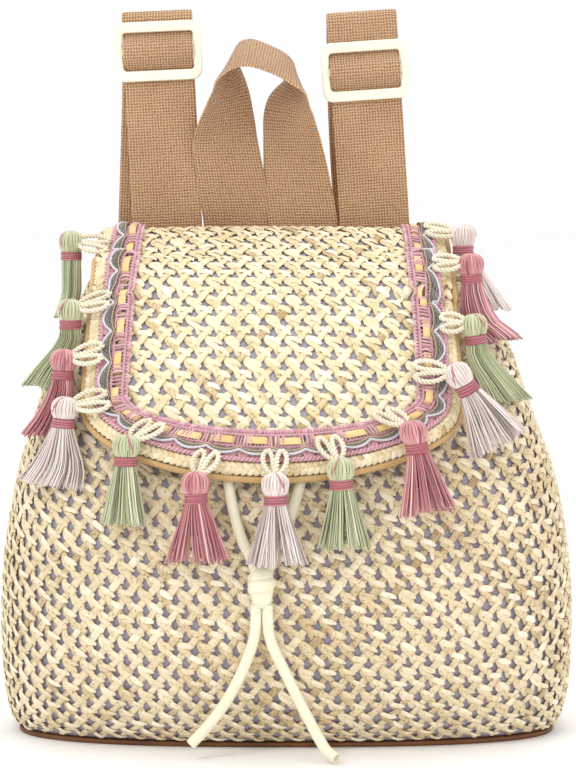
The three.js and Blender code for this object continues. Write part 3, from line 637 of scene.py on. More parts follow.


# Each material's maker and its settings: shades run from painted shade in the gaps to painted light on the tops,
# across_mm and along_mm are the size of its streaks, relief is their depth in metres
SILKY = dict(roughness=0.35, across_mm=0.25, along_mm=6, relief=0.0001, tone_weight=0.75, sheen=0.3)
MATERIALS = {
    # Paper straw tape: a dry, matt ribbon with lengthwise creases and darker edges, some tapes paler
    "straw": (fibre, dict(
        name="natural paper straw tape", shades=["#a0865f", "#d2bc94", "#e8d8b6", "#faf0dc"], roughness=0.6,
        across_mm=1.1, along_mm=9, relief=0.0006, tone_weight=0.55, edge_mm=1.5, flecks=0.25)),
    # The flap's tape is a paler and yellower batch
    "flap_straw": (fibre, dict(
        name="pale paper straw tape", shades=["#b3966a", "#e2cfa2", "#f2e4c2", "#fcf6e5"], roughness=0.6,
        across_mm=1.1, along_mm=9, relief=0.0006, tone_weight=0.55, edge_mm=1.6, flecks=0.2)),
    # Plain cotton lining, a greyed lilac that shows through the holes
    "lilac_cloth": (cloth_material, dict(name="lilac cotton lining", dark="#958d98", light="#b3abb4")),
    "flap_cloth": (cloth_material, dict(name="pale lilac cotton lining", dark="#a39ba5", light="#c4bcc5")),
    # Smooth brown base hide, dark and slightly glossy
    "brown_hide": (grained_material, dict(
        name="smooth brown base hide", dark="#59330f", light="#7a4a20", roughness=0.5, scale=900, relief=0.0002)),
    # Satin piping: slightly ribbed and lustrous
    "tan_binding": (fibre, dict(
        name="satin edge binding", shades=["#a98550", "#cba56c", "#dcbb85"], roughness=0.45,
        across_mm=6, along_mm=0.5, relief=0.00015, tone_weight=0.3, sheen=0.2)),
    # Crochet cotton in a dusty rose: painted shade between its stitches, painted highlights nearly white on them
    "rose_lace": (fibre, dict(
        name="rose crochet cotton", shades=["#8d4f5c", "#cd929d", "#e4b5bd", "#f6dde0"], roughness=0.75,
        across_mm=0.3, along_mm=1.2, relief=0.0002, sheen=0.3)),
    # Satin ribbon threaded through the lace
    "yellow_tape": (fibre, dict(
        name="yellow satin ribbon", shades=["#c69a54", "#e8c888", "#f6e3b4"], roughness=0.4,
        across_mm=1.4, along_mm=14, relief=0.0001, tone_weight=0.4, sheen=0.1)),
    # Metallic thread: bright flecks of painted glint along a silver grey cord
    "silver_thread": (fibre, dict(
        name="silver metallic thread", shades=["#8a8487", "#d3cfd3", "#f6f4f6"], roughness=0.38,
        across_mm=0.25, along_mm=0.5, relief=0.0002, tone_weight=0.5, metallic=0.3)),
    "lurex": (fibre, dict(
        name="grey metallic yarn", shades=["#5a5452", "#948d87", "#d4cec8"], roughness=0.45,
        across_mm=0.3, along_mm=0.4, relief=0.0003, tone_weight=0.4, metallic=0.3)),
    "gold_thread": (fibre, dict(
        name="pale gold metallic thread", shades=["#9a8358", "#d2bd92", "#f0e4c8"], roughness=0.4,
        across_mm=0.3, along_mm=0.6, relief=0.0001, tone_weight=0.5, metallic=0.3)),
    # Cotton webbing: matt and fuzzy, with painted shade in the pits between its yarns
    "tan_webbing": (webbing_material, dict(
        name="woven cotton webbing", pitch_mm=1.55, shades=["#664630", "#a67b5a", "#c2976f", "#dcba94"])),
    # Moulded acetal: ivory, soft sheen, nearly smooth
    "ivory_plastic": (grained_material, dict(
        name="moulded ivory acetal", dark="#efe8d2", light="#f6f1e0", roughness=0.32, scale=500, relief=0.00003,
        coat=0.1)),
    # Flat woven tube cord with a slight gloss
    "ivory_cord": (fibre, dict(
        name="glossy ivory tube cord", shades=["#d9d1ad", "#ebe5c9", "#f4f0dc"], roughness=0.35,
        across_mm=1.2, along_mm=5, relief=0.00008, tone_weight=0.3, sheen=0.1)),
    # Twisted cotton of the hanging loops
    "cream_yarn": (fibre, dict(
        name="cream twisted cotton", shades=["#8d7d5a", "#d8ccad", "#efe6cf", "#faf5e6"], roughness=0.75,
        across_mm=0.3, along_mm=1.5, relief=0.0002, sheen=0.3)),
    # Viscose tassel yarn: fine, silky and lustrous, so that it runs from painted shade in the gaps to painted
    # highlights
    "rose": (fibre, dict(name="rose viscose yarn", shades=["#6e2f33", "#b9696d", "#d99a9b", "#fbd6d4"], **SILKY)),
    "pale": (fibre, dict(
        name="pale pink viscose yarn", shades=["#94807a", "#d8c6be", "#eee0d8", "#fffaf5"], **SILKY)),
    "green": (fibre, dict(
        name="sage green viscose yarn", shades=["#6e7048", "#aeb487", "#cdd0a7", "#f6f6da"], **SILKY)),
    "wrap": (fibre, dict(
        name="rose wrapping thread", shades=["#7d3a40", "#b3646b", "#dc9da2"], roughness=0.45,
        across_mm=0.25, along_mm=2, relief=0.0001, tone_weight=0.65, sheen=0.2)),
    "thread": (fibre, dict(
        name="tan sewing thread", shades=["#7d5630", "#9c7146", "#b5895b"], roughness=0.6,
        across_mm=0.2, along_mm=1, relief=0.0001, tone_weight=0.4, sheen=0.1)),
}
MADE = {}


def material(key):
    """The named material, made when it is first asked for."""
    if key not in MADE:
        maker, settings = MATERIALS[key]
        MADE[key] = maker(**settings)
    return MADE[key]


# The straw weave: two families of diagonal tapes that pass over and under each other, with a slanting
# strand under each hole

def weave(skin, place, inside, u_range, v_range, settings, seed):
    """Weaves over a surface. place(u, v, out) gives points and inside(u, v) says where there is straw."""
    rng = np.random.default_rng(seed)
    pitch, row, width = settings.pitch, settings.row, settings.tape
    first, last = int(v_range[0] / row) - 1, int(v_range[1] / row) + 2
    t = np.arange(first * 4, last * 4 + 1) / 4
    lean = (last - first) / 2
    w = np.linspace(-1, 1, 5)
    for family in (1, -1):
        low = int(u_range[0] / pitch - lean) - 2
        high = int(u_range[1] / pitch + lean) + 2
        for k in range(low, high + 1):
            u = (k + 0.5) * pitch + family * t * pitch / 2
            v = t * row
            wobble = np.interp(t, t[::4], rng.normal(0, 0.0003, len(t[::4])))
            u = u + wobble + (0.0002 if family > 0 else 0.0007) * -np.sin(2 * np.pi * t)
            keep = inside(u, v)
            if not keep.any():
                continue
            wide = width * np.interp(t, t[::4], rng.uniform(0.78, 1.2, len(t[::4])))
            tone = np.clip(rng.normal(0.5, 0.13) + np.interp(t, t[::4], rng.normal(0, 0.1, len(t[::4]))), 0, 1)
            lift = family * 0.00055 * np.cos(np.pi * t)
            edges = np.flatnonzero(np.diff(np.r_[0, keep.astype(int), 0]))
            for start, end in zip(edges[::2], edges[1::2]):
                if end - start < 3:
                    continue
                piece = slice(start, end)
                du, dv = np.gradient(u[piece]), np.gradient(v[piece])
                size = np.hypot(du, dv)
                nu, nv = dv / size, -du / size
                offset = w[None, :] * wide[piece, None] / 2
                uu = u[piece, None] + nu[:, None] * offset
                vv = v[piece, None] + nv[:, None] * offset
                roll = 0.00012 * np.sin(1.7 * t[piece] + k)[:, None] * w[None, :]
                out = -0.0011 + lift[piece, None] + 0.0007 * (1 - w ** 2)[None, :] + roll
                points, _ = place(uu, vv, out)
                uv = pair(w * width * 500, (t[piece] * 8.3 + 37 * k)[:, None])
                skin.grid(points, uv, tone[piece][:, None], flip=family > 0)
    for j in range(first, last + 1):
        for i in range(int(u_range[0] / pitch) - 1, int(u_range[1] / pitch) + 2):
            u = i * pitch + (j % 2) * pitch / 2 + rng.normal(0, 0.00025)
            v = j * row + rng.normal(0, 0.00025)
            centre_u, centre_v = u + 0.0005, v - 0.0042
            if not inside(np.array([centre_u]), np.array([centre_v]))[0]:
                continue
            angle = math.radians(-26 + rng.normal(0, 8))
            s = np.linspace(-1, 1, 6)
            length = 0.0084 * rng.uniform(0.9, 1.1)
            wide = settings.lens * rng.uniform(0.85, 1.12) * np.sqrt(np.clip(1 - 0.8 * s ** 4, 0, 1))
            cu, cv = math.cos(angle), math.sin(angle)
            bend = 0.0004 * (1 - s ** 2)
            uu = centre_u + s[:, None] * length / 2 * cu - w[None, :] * wide[:, None] / 2 * cv
            vv = centre_v + s[:, None] * length / 2 * cv + w[None, :] * wide[:, None] / 2 * cu + bend[:, None]
            out = 0.0001 - 0.0014 * s[:, None] ** 2 + 0.0005 * (1 - w ** 2)[None, :]
            points, _ = place(uu, vv, out)
            uv = pair(w * 1.5, (s * 4 + 13 * i + 7 * j)[:, None])
            skin.grid(points, uv, float(np.clip(rng.normal(0.72, 0.13), 0, 1)))


def body_place(back):
    """Places on the front or back panel: u along the girth from the panel's middle, v up it."""
    rise_table = BACK_RISE if back else FRONT_RISE

    def level(u, v):
        rise = v + 0.013 * (np.abs(u) / 0.17) ** 4
        return np.interp(rise, rise_table, ROWS, left=-1, right=len(LEVELS) + 1)

    def place(u, v, out):
        row = level(u, v)
        girth = np.interp(row, ROWS, GIRTHS)
        column = u / girth * RING + (RING // 2 if back else 0)
        return BODY.at(row, column, out)

    def inside(u, v):
        row = level(u, v)
        seam = np.interp(row, ROWS, SEAM)
        limit = np.interp(row, ROWS, GIRTHS) / 2 - seam if back else seam
        top = np.searchsorted(LEVELS, BODY_HEIGHT - HEM_HEIGHT * 0.7)
        return (row >= 0.5) & (row <= top) & (np.abs(u) <= limit - 0.0005)

    return place, inside


def flap_place():
    """Places on the flap: u across from its middle, v up it from the end of its bow."""
    def place(u, v, out):
        return flap_point(u, FLAP_END - v, WEAVE_TOP + out)

    def inside(u, v):
        along = FLAP_END - v
        beyond = np.clip((along - BOW_START) / FLAP_BOW, 0, 1)
        half = np.where(along > BOW_START, FLAP_HALF * np.sqrt(1 - beyond ** 2),
                        FLAP_HALF * (1 - HEM_NARROWING * (1 - along / BOW_START)))
        return (along > 0.001) & (along < FLAP_END - 0.001) & (np.abs(u) < half - 0.002)

    return place, inside


def build_body_weave(settings):
    for name, back in (("body_weave_front", False), ("body_weave_back", True)):
        skin = Skin()
        place, inside = body_place(back)
        rise = (BACK_RISE if back else FRONT_RISE)[-1]
        weave(skin, place, inside, (-0.2, 0.2), (-0.03, rise), settings, 11 + back)
        skin.object(name, "straw", ["body_weave"])
    seam = Skin()
    rng = np.random.default_rng(5)
    for side in (1, -1):
        for row in np.arange(1.5, len(LEVELS) - 6, 1.45):
            girth = np.interp(row, ROWS, GIRTHS)
            column = side * np.interp(row, ROWS, SEAM) / girth * RING
            centre, normal = BODY.at(row, column, 0.0002)
            ahead, _ = BODY.at(row + 1, column + 4 * side, 0.0002)
            stitch(seam, centre, ahead - centre, normal, 0.0052, 0.0026, 0.001, float(rng.uniform(0.35, 0.8)))
    seam.object("body_side_seams", "straw", ["body_weave"])


def build_flap_weave(settings):
    skin = Skin()
    place, inside = flap_place()
    weave(skin, place, inside, (-FLAP_HALF, FLAP_HALF), (0, FLAP_END), settings, 23)
    skin.object("flap_weave_straw", "flap_straw", ["flap_weave"])


def flap_rows(inset, count=60):
    along = np.r_[np.linspace(0, BOW_START, count), BOW_START + FLAP_BOW * np.sin(np.linspace(0.05, 1.5, 16))]
    bow = np.clip((along - BOW_START) / (FLAP_BOW - inset), 0, 0.999)
    half = (FLAP_HALF - inset) * np.sqrt(1 - bow ** 2) * (1 - HEM_NARROWING * np.clip(1 - along / BOW_START, 0, 1))
    return np.minimum(along, FLAP_END - inset), half


LINING_RING = 144  # points round the lining
LINING_GIRTH = 760  # for its UV, in millimetres
BASE_RING = 240


def build_linings():
    flap = Skin()
    along, half = flap_rows(0.0012)
    w = np.sin(np.linspace(-1, 1, 33) * math.pi / 2)
    across = half[:, None] * w
    uv = pair(across * 1000, along[:, None] * 1000)
    top, _ = flap_point(across, along[:, None], 0.0013)
    bottom, _ = flap_point(across, along[:, None], 0.0002)
    flap.grid(top, uv, flip=True)
    flap.grid(bottom, uv)
    for a, b in ((top[:, 0], bottom[:, 0]), (bottom[:, -1], top[:, -1])):
        flap.grid(np.stack([a, b], axis=1), flip=True)
    flap.object("flap_lining_cloth", "flap_cloth", ["flap_lining"])
    body = Skin()
    levels = np.r_[0.0031, LEVELS[2::4], BODY_HEIGHT - 0.001]
    outer = np.stack([ring_at(z, -0.0023, LINING_RING) for z in levels])
    inner = np.stack([ring_at(z, -0.0031, LINING_RING) for z in levels])
    uv = pair(np.linspace(0, LINING_GIRTH, LINING_RING), levels[:, None] * 1000)
    body.grid(outer, uv, close_columns=True)
    body.grid(inner[::-1], uv, close_columns=True)
    body.grid(np.stack([outer[-1], inner[-1]]), close_columns=True)
    floor = np.stack([ring_at(0.0037, -0.0031 - d, LINING_RING) for d in np.linspace(0, 0.044, 6)])
    body.grid(floor, close_columns=True)
    centre = floor[-1]
    body.grid(np.stack([centre, centre * [1, 0, 1] + [0, 0.002, 0]]), close_columns=True)
    body.object("body_lining_cloth", "lilac_cloth", ["body_lining"])


def build_base():
    skin = Skin()
    rings = [ring_at(0.0, -inset, BASE_RING) * [1, 1, 0] for inset in (0.05, BASE_EDGE + 0.002, BASE_EDGE)]
    for angle in np.linspace(0, math.pi / 2, 5)[1:]:
        rings.append(ring_at(BASE_EDGE * (1 - math.cos(angle)), -BASE_EDGE * (1 - math.sin(angle)), BASE_RING))
    rings += [ring_at(z, out, BASE_RING) for z, out in ((0.0022, 0.0), (BASE_PLATE, -0.0005), (BASE_PLATE, -0.05))]
    for end in (0, -1):
        rings[end] = rings[end] * [1, 0, 1] + [0, 0.002, 0]
    skin.grid(np.stack(rings), close_columns=True)
    skin.object("base_panel_hide", "brown_hide", ["base_panel"])


HEM_STRANDS = 240  # pairs of slanting strands round the mouth


def build_hem():
    """The gathered channel round the mouth: a tube of weave with slanting strands over it."""
    skin = Skin()
    foot = BODY_HEIGHT - HEM_HEIGHT
    section = [(0.0, 0.0006), (0.0006, 0.85), (0.004, 1.0), (0.0074, 0.85), (0.008, 0.1)]
    rings = [ring_at(foot + up, -0.0008, 2 * HEM_STRANDS, HEM_SWELL * out) for up, out in section]
    rings += [ring_at(BODY_HEIGHT, -0.0036, 2 * HEM_STRANDS), ring_at(foot, -0.0038, 2 * HEM_STRANDS)]
    skin.grid(np.stack(rings), close_columns=True, close_rows=True, tone=0.42)
    rng = np.random.default_rng(31)
    outline = ring_at(foot + 0.004, 0.0, HEM_STRANDS, HEM_SWELL)
    for p, q in zip(outline, np.roll(outline, -1, axis=0)):
        along = unit(q - p)
        normal = np.cross(along, [0, 0, 1])
        for k, lean in ((-1, 0.9), (1, -0.9)):
            if rng.random() < 0.06:
                continue
            centre = p + normal * -0.0003 + np.array([0, 0, 0.0019 * k])
            tone = float(rng.uniform(0.3, 0.8))
            stitch(skin, centre, along + np.array([0, 0, lean]), normal, 0.0056, 0.0027, 0.001, tone)
    skin.object("mouth_hem_straw", "straw", ["mouth_hem"])


# Trims round the flap's edge

def edge_line(low, high, inset, height, step=0.002):
    share = np.linspace(low, high, max(int((high - low) * EDGE_LENGTH / step), 2))
    points, normals = edge_point(share, inset, height)
    return share, points, normals


def build_binding():
    skin = Skin()
    share, _, _ = edge_line(0, 1, 0, 0)
    angles = np.linspace(-0.5 * math.pi, 1.5 * math.pi, 13)
    rows = []
    for angle in angles[:-1]:
        inset = -0.0021 - 0.0019 * math.sin(angle)
        height = 0.00185 + 0.0019 * math.cos(angle)
        rows.append(edge_point(share, inset, height)[0])
    points = np.stack(rows, axis=1)
    run = share * EDGE_LENGTH * 1000
    uv = pair(np.linspace(0, 12, 12), run[:, None])
    skin.grid(points, uv, close_columns=True, flip=True)
    for end in (0, -1):
        cap = np.stack([points[end], np.repeat(points[end].mean(axis=0)[None], 12, axis=0)])
        skin.grid(cap, close_columns=True, flip=end == 0)
    skin.object("flap_edge_binding", "tan_binding", ["flap_binding"])


def build_border():
    """The straw chain between the binding and the lace: two rows of leaves that lean into each other."""
    skin = Skin()
    rng = np.random.default_rng(41)
    count = int(EDGE_LENGTH / 0.0033)
    for i in range(count):
        share = (i + 0.5) / count
        for inset, lean in ((0.0014, 0.62), (0.0040, -0.62)):
            here, normal = edge_point(np.array([share]), inset, WEAVE_TOP + 0.0008)
            ahead, _ = edge_point(np.array([min(share + 0.004, 1)]), inset, WEAVE_TOP + 0.0008)
            inward, _ = edge_point(np.array([share]), inset + 0.002, WEAVE_TOP + 0.0008)
            along = unit(ahead - here)[0] + lean * unit(inward - here)[0]
            tone = float(np.clip(rng.normal(0.55, 0.16), 0, 1))
            stitch(skin, here[0], along, normal[0], 0.0062, 0.0031, 0.0013, tone)
    low = TRIM_BACK / EDGE_LENGTH * 0.4
    share, _, _ = edge_line(low, 1 - low, 0, 0)
    rows = [edge_point(share, inset, WEAVE_TOP - 0.0002)[0] for inset in (0.0003, 0.0054)]
    skin.grid(np.stack(rows, axis=1), tone=0.25, flip=True)
    skin.object("flap_border_chain", "flap_straw", ["flap_braid_border"])


def build_lace():
    """Crochet lace: a twisted outer cord, an open ground, a ladder for the ribbon and a picot edge."""
    skin = Skin()
    rng = np.random.default_rng(43)
    low = TRIM_BACK / EDGE_LENGTH
    high = 1 - low
    top = TRIM_FOOT + 0.0002
    length = (high - low) * EDGE_LENGTH
    for inset, radius, pitch, lift in ((0.0072, 0.00135, 0.0042, 0.0009), (0.0199, 0.0008, 0.0032, 0.0005),
                                       (0.0139, 0.0008, 0.0034, 0.0003)):
        _, points, normals = edge_line(low, high, inset, top + lift)
        rope(skin, points, radius, pitch, tone=0.6, normal=normals)
    count = int(length / 0.0021)
    for i in range(count):
        share = low + (i + rng.uniform(0.35, 0.65)) / count * (high - low)
        insets = np.linspace(0.0138, 0.0202, 6)
        over = 0.0017 if i % 9 < 3 else 0.0
        arch = over * np.sin(np.linspace(0, math.pi, 6)) + 0.0002
        points, _ = edge_point(share + np.linspace(0, rng.uniform(-0.001, 0.001), 6), insets, top + arch)
        # Painted shade: the ground's strands and picots are darker on their side that faces back towards the bag.
        skin.tube(points, 0.00058, 4, float(rng.uniform(0.35, 0.8)), inward=[0, 1, 0], painted_shade=0.25)
        turn = np.linspace(0, math.pi, 6)
        wide = 0.0009 / EDGE_LENGTH
        loop, _ = edge_point(share + wide * np.cos(turn), 0.0205 + 0.0022 * np.sin(turn), top + 0.0007 * np.sin(turn))
        skin.tube(loop, 0.00052, 4, float(rng.uniform(0.4, 0.85)), inward=[0, 1, 0], painted_shade=0.25)
    waves = max(int(length / 0.0036), 2)
    for phase in (0.0, 0.5, 1.0, 1.5):
        t = np.linspace(0, waves, waves * 6)
        inset = 0.0107 + 0.0032 * np.sin(math.pi * t + 1.6 * phase)
        share = low + t / waves * (high - low)
        points, _ = edge_point(share, inset, top + 0.0004 * np.cos(math.pi * t + 3 * phase))
        # Painted shade: the waves are darker on their side that faces back towards the bag.
        skin.tube(points, 0.0006, 5, 0.45 + 0.15 * phase, inward=[0, 1, 0], painted_shade=0.3)
    skin.object("lace_crochet", "rose_lace", ["lace_trim"])


def build_ribbon():
    """The ribbon shows as dashes where it passes over the lace's ladder."""
    skin = Skin()
    low = TRIM_BACK / EDGE_LENGTH
    length = (1 - 2 * low) * EDGE_LENGTH
    count = int(length / 0.0198)
    top = TRIM_FOOT + 0.0004
    for i in range(count):
        middle = low + (i + 0.5) / count * (1 - 2 * low)
        bow = abs(middle - 0.5) * EDGE_LENGTH < BOW_LENGTH * 0.36
        dash = 0.0135 if bow else 0.0105
        share = middle + np.linspace(-0.5, 0.5, 13) * (dash + 0.002) / EDGE_LENGTH
        lift = 0.0022 * np.sqrt(np.clip(1 - np.linspace(-1, 1, 13) ** 4, 0, 1)) - 0.0008
        sway = 0.0003 * math.sin(i * 1.9)
        for side, low_lift in ((1, 0.0003), (-1, -0.0003)):
            rows = [edge_point(share, 0.0168 + sway + 0.0018 * k, top + lift + low_lift * (1 - k * k))[0]
                    for k in np.linspace(-1, 1, 5)]
            skin.grid(np.stack(rows, axis=1), tone=0.5 + 0.12 * math.sin(i * 2.3), flip=side > 0)
    skin.object("ribbon_dashes", "yellow_tape", ["threaded_ribbon"])


def build_silver():
    """The scalloped braid: a pale cord that bulges outward, leaves of grey yarn inside it, a gold zigzag."""
    low = TRIM_BACK / EDGE_LENGTH
    length = (1 - 2 * low) * EDGE_LENGTH
    scallops = round(length / SCALLOP)
    t = np.linspace(0, scallops, scallops * 24)
    share = low + t / scallops * (1 - 2 * low)
    top = TRIM_FOOT + 0.0022
    arch = np.abs(np.sin(math.pi * t)) ** 0.8
    round_bow = np.clip((share * EDGE_LENGTH - BOW_START) / BOW_LENGTH, 0, 1)
    reach = 0.0048 * (1 - 0.5 * np.sin(math.pi * round_bow))
    inner = 0.0132 - 0.0012 * np.sin(math.pi * round_bow)
    cord = Skin()
    line, normals = edge_point(share, inner - reach * arch, top + 0.0004)
    rope(cord, line, 0.00072, 0.0022, tone=0.8, step=0.0004, normal=normals)
    cord.object("silver_scallop_cord", "silver_thread", ["silver_braid"])
    fill = Skin()
    for k, part in enumerate((0.18, 0.42, 0.64, 0.84)):
        wiggle = 0.0003 * np.sin(t * 2 * math.pi * 6 + k * 2)
        line, normals = edge_point(share, inner + 0.0004 - reach * arch * part + wiggle, top - 0.0002)
        rope(fill, line, 0.00058, 0.0016, tone=0.35 + 0.12 * k, sides=4, step=0.0004, normal=normals)
    fill.object("silver_fill_yarn", "lurex", ["silver_braid"])
    zigzag = Skin()
    line, normals = edge_point(share, inner + 0.0012 - 0.0018 * arch, top + 0.0003)
    rope(zigzag, line, 0.00036, 0.0015, tone=0.6, sides=4, step=0.00035, normal=normals)
    zigzag.object("gold_zigzag_thread", "gold_thread", ["silver_braid"])


# Tassels: share along the flap's edge, inset and stand as shares of the head, lean of the skirt in
# degrees, width of the skirt, and yarn
TASSELS = [
    (0.1, -0.85, 0, 0.8, 0, "green"), (0.187, -0.5, 0, 0.7, 0, "green"), (0.2475, -0.6, 4, 0.75, 0, "rose"),
    (0.3, -0.3, 6, 1.15, 0, "pale"), (0.3675, 0, 2, 0.75, 0.1, "green"), (0.4375, -0.7, -2, 1, 0, "rose"),
    (0.5025, -0.5, -1, 0.95, 0.35, "pale"), (0.56, -0.1, -3, 0.85, 0.1, "green"), (0.64, 0.6, -9, 0.9, 0.95, "rose"),
    (0.7275, 0.5, -28, 1, 0.95, "pale"), (0.785, -0.6, -8, 0.7, 0, "green"), (0.85, -0.6, -4, 0.7, 0, "rose"),
    (0.92, -0.5, 0, 0.8, 0, "pale"),
]
TASSEL_SECTIONS = np.array([
    # along, width, thickness: shares of the tassel's length and of its head
    [0, 0.3, 0.3], [0.06, 0.82, 0.78], [0.14, 1, 0.94], [0.22, 0.92, 0.88], [0.27, 0.76, 0.74],
    [0.35, 0.78, 0.74], [0.5, 1.15, 0.76], [0.75, 1.75, 0.78], [1, 2.3, 0.76],
])
BRAID_TOP = 0.008


def tassel_frame(share, inset, lean, spread, stand):
    """Centres, widths and thicknesses down a tassel, with its side and outward directions."""
    head_height = 0.0068 + SEAT + TASSEL_HEAD / 2
    head = rest_on_body(edge_point(np.array([share]), inset * TASSEL_HEAD, head_height)[0][0], TASSEL_HEAD / 2 + SEAT)
    lean = math.radians(lean)
    down = np.array([-math.sin(lean), 0, -math.cos(lean)])
    top = head - down * 0.14 * TASSEL_LENGTH
    half, middle, front, widest, back, _ = section_at(head[2])
    deep = widest - front if head[1] < widest else back - widest
    x, y = (head[0] - middle) / half, (head[1] - widest) / deep
    power = FRONT_SQUARENESS - 1
    outward = unit([signed_power(x, power) / half, signed_power(y, power) / deep, 0])
    side = unit(np.cross(outward, down))
    centres, widths, thicks = [], [], []
    for along, width, thick in TASSEL_SECTIONS:
        stood = stand * TASSEL_HEAD * float(smooth(along, 0.1, 0.5))
        free = top + down * along * TASSEL_LENGTH + outward * stood
        centre = rest_on_body(free, thick * TASSEL_HEAD / 2 + SKIRT_REST)
        broad = 1 + (spread - 1) * float(smooth(along, 0.3, 0.7))
        half_width = width * broad * TASSEL_HEAD / 2
        while not all(clear_of_body(centre + side * half_width * k, SKIRT_REST + 0.001) for k in (-1, 1)):
            centre = centre + outward * 0.00025
        centres.append(centre)
        widths.append(half_width)
        thicks.append(thick * TASSEL_HEAD / 2)
    return head, np.array(centres), np.array(widths), np.array(thicks), side, outward, down


def build_tassel(number, row, settings):
    """A tassel: a wound ball, a wrapped neck and a skirt of fine yarns that part into locks."""
    share, inset, lean, spread, stand, yarn = row
    head, centres, widths, thicks, side, outward, down = tassel_frame(share, inset, lean, spread, stand)
    rng = np.random.default_rng(100 + number)
    along = TASSEL_SECTIONS[:, 0]
    skin = Skin()

    def at(s, angle, reach):
        centre = np.stack([np.interp(s, along, centres[:, k]) for k in range(3)], axis=-1)
        w = np.interp(s, along, widths) * (1 + 0.14 * np.clip((np.asarray(s) - 0.4) / 0.6, 0, 1))
        t = np.interp(s, along, thicks)
        return (centre + side * (w * reach * np.cos(angle))[..., None]
                + outward * (t * reach * np.sin(angle))[..., None])

    s = np.array([0.27, 0.36, 0.46, 0.58, 0.7, 0.82, 0.92, 1.0])
    below = np.clip((s - 0.3) / 0.7, 0, 1)
    locks = 11
    per_lock = settings.strands // locks
    for lock in range(locks):
        lock_angle = 2 * math.pi * (lock + rng.uniform(-0.2, 0.2)) / locks
        lock_tone = rng.normal(0.5, 0.08)
        lock_drift = rng.normal(0, 0.12)
        lock_end = rng.uniform(0.95, 1.0)
        for i in range(per_lock):
            offset = ((i + 0.5) / per_lock - 0.5) * 2 * math.pi / locks
            angle = lock_angle + lock_drift * below + offset * (1.15 - 0.2 * below)
            layer = (i % 3) / 3
            reach = 0.98 - 0.42 * layer - 0.1 * abs(offset) * locks / math.pi * below
            down_to = s * (1 + (lock_end * rng.uniform(0.97, 1.0) - 1) * below)
            line = at(down_to, angle + rng.normal(0, 0.03) * below, reach)
            line = line + side * np.cumsum(rng.normal(0, 0.00012, len(s)))[:, None] * below[:, None]
            edge = abs(offset) * locks / math.pi
            # Painted shade: strands at a lock's edges and in its inner layers are darker, as in the gaps between
            # locks; lower down they grow paler.
            tone = float(np.clip(lock_tone + rng.normal(0.06, 0.17) - 0.22 * edge - 0.15 * layer, 0.02, 1))
            skin.tube(line, 0.00038, 4, tone + 0.12 * below, normal=outward)
    lines = 64
    head_s = np.array([0.05, 0.056, 0.08, 0.12, 0.17, 0.22, 0.27, 0.31])
    head_reach = np.array([0.12, 0.5, 0.86, 1.0, 1.02, 1.0, 0.95, 0.9])
    slit_angle = math.pi / 2 + 0.4 * (-1) ** number
    for i in range(lines):
        angle = 2 * math.pi * i / lines
        slit = math.exp(-((angle - slit_angle) / 0.13) ** 2)
        reach = head_reach - slit * np.array([0, 0.1, 0.12, 0.1, 0.04, 0, 0, 0])
        line = at(head_s, angle + 0.07 * np.sin(i * 2.1 + head_s * 9), reach)
        # Painted shade: the lines in the slit between the head's lobes are darker.
        tone = float(np.clip(rng.normal(0.6, 0.09) - 0.3 * slit, 0, 1))
        skin.tube(line, 0.00045, 4, tone)
    core_s = np.array([0.052, 0.06, 0.08, 0.12, 0.17, 0.24, 0.31, 0.4, 0.55, 0.7])
    sides = 14
    core_angles = np.linspace(0, 2 * math.pi, sides, endpoint=False)
    core = np.stack([at(np.full(sides, h), core_angles, np.interp(h, head_s, head_reach) - 0.05 if h < 0.3 else 0.4)
                     for h in core_s])
    tips = [np.repeat(core[end].mean(axis=0)[None, None], sides, axis=1) for end in (0, -1)]
    core = np.concatenate([tips[0], core, tips[1]])
    # Painted shade: the core inside the skirt is near black, seen as shade between the strands.
    core_tone = np.r_[0.45, np.where(core_s < 0.25, 0.45, 0.1), 0.1]
    skin.grid(core, tone=core_tone[:, None], close_columns=True, flip=True)
    name = f"tassel_{number:02d}"
    skin.object(name + "_yarn", yarn, [name])
    band = Skin()
    t = np.linspace(0, 1, 100)
    angle = t * 2 * math.pi * 6.5
    line = at(0.272 + t * 0.085, angle, 1.05 + 0.03 * np.sin(t * 9))
    tone = 0.55 + 0.25 * np.sin(angle * 0.5 + number)
    # Painted shade: the wrap is darker on its upper side, under the head.
    band.tube(line, 0.0005, 6, tone, inward=-down * np.array([0, 0, 1]), painted_shade=0.3)
    tie = np.array([0.052, 0.06, 0.08, 0.11, 0.15, 0.19, 0.23])
    tie_angle = slit_angle + 3 * (tie - 0.1) * (-1) ** number
    band.tube(at(tie, tie_angle, np.array([0.2, 0.6, 0.9, 1.02, 1.05, 1.04, 1.0])), 0.0005, 5, 0.65)
    band.object(name + "_wrap", "wrap", [name])
    return head, outward


LOOP_EAR = [  # width and height of one ear, as shares of the loop's
    (0.08, 0.0), (0.5, 0.16), (0.86, 0.5), (0.84, 0.86), (0.5, 1.02), (0.22, 0.8), (0.12, 0.4), (0.03, 0.02),
]


def build_loop(number, row, head, outward):
    """Two ears of twisted cotton that stand up from the tassel's head to the trim."""
    share, inset = row[0], row[1]
    skin = Skin()
    root = inset * TASSEL_HEAD + LOOP_LENGTH + 0.2 * TASSEL_HEAD + 0.003
    top, _ = edge_point(np.array([share]), root, BRAID_TOP + 0.0008)
    beside, _ = edge_point(np.array([share + 0.002]), root, BRAID_TOP + 0.0008)
    along = unit(beside[0] - top[0])
    low = head + unit(top[0] - head) * TASSEL_HEAD * 0.3 + outward * 0.0006
    for k in (-1, 1):
        points = []
        for wide, up in LOOP_EAR:
            lift = outward * 0.0012 * math.sin(math.pi * min(up, 1))
            points.append(low + (top[0] - low) * up + along * k * wide * 0.0066 + lift)
        rope(skin, curve_through(points, 40), 0.00135, 0.0042, tone=0.66 + 0.06 * k, sides=6)
    name = f"tassel_loop_{number:02d}"
    skin.object(name + "_yarn", "cream_yarn", [name])


# Webbing: shoulder straps and grab handle

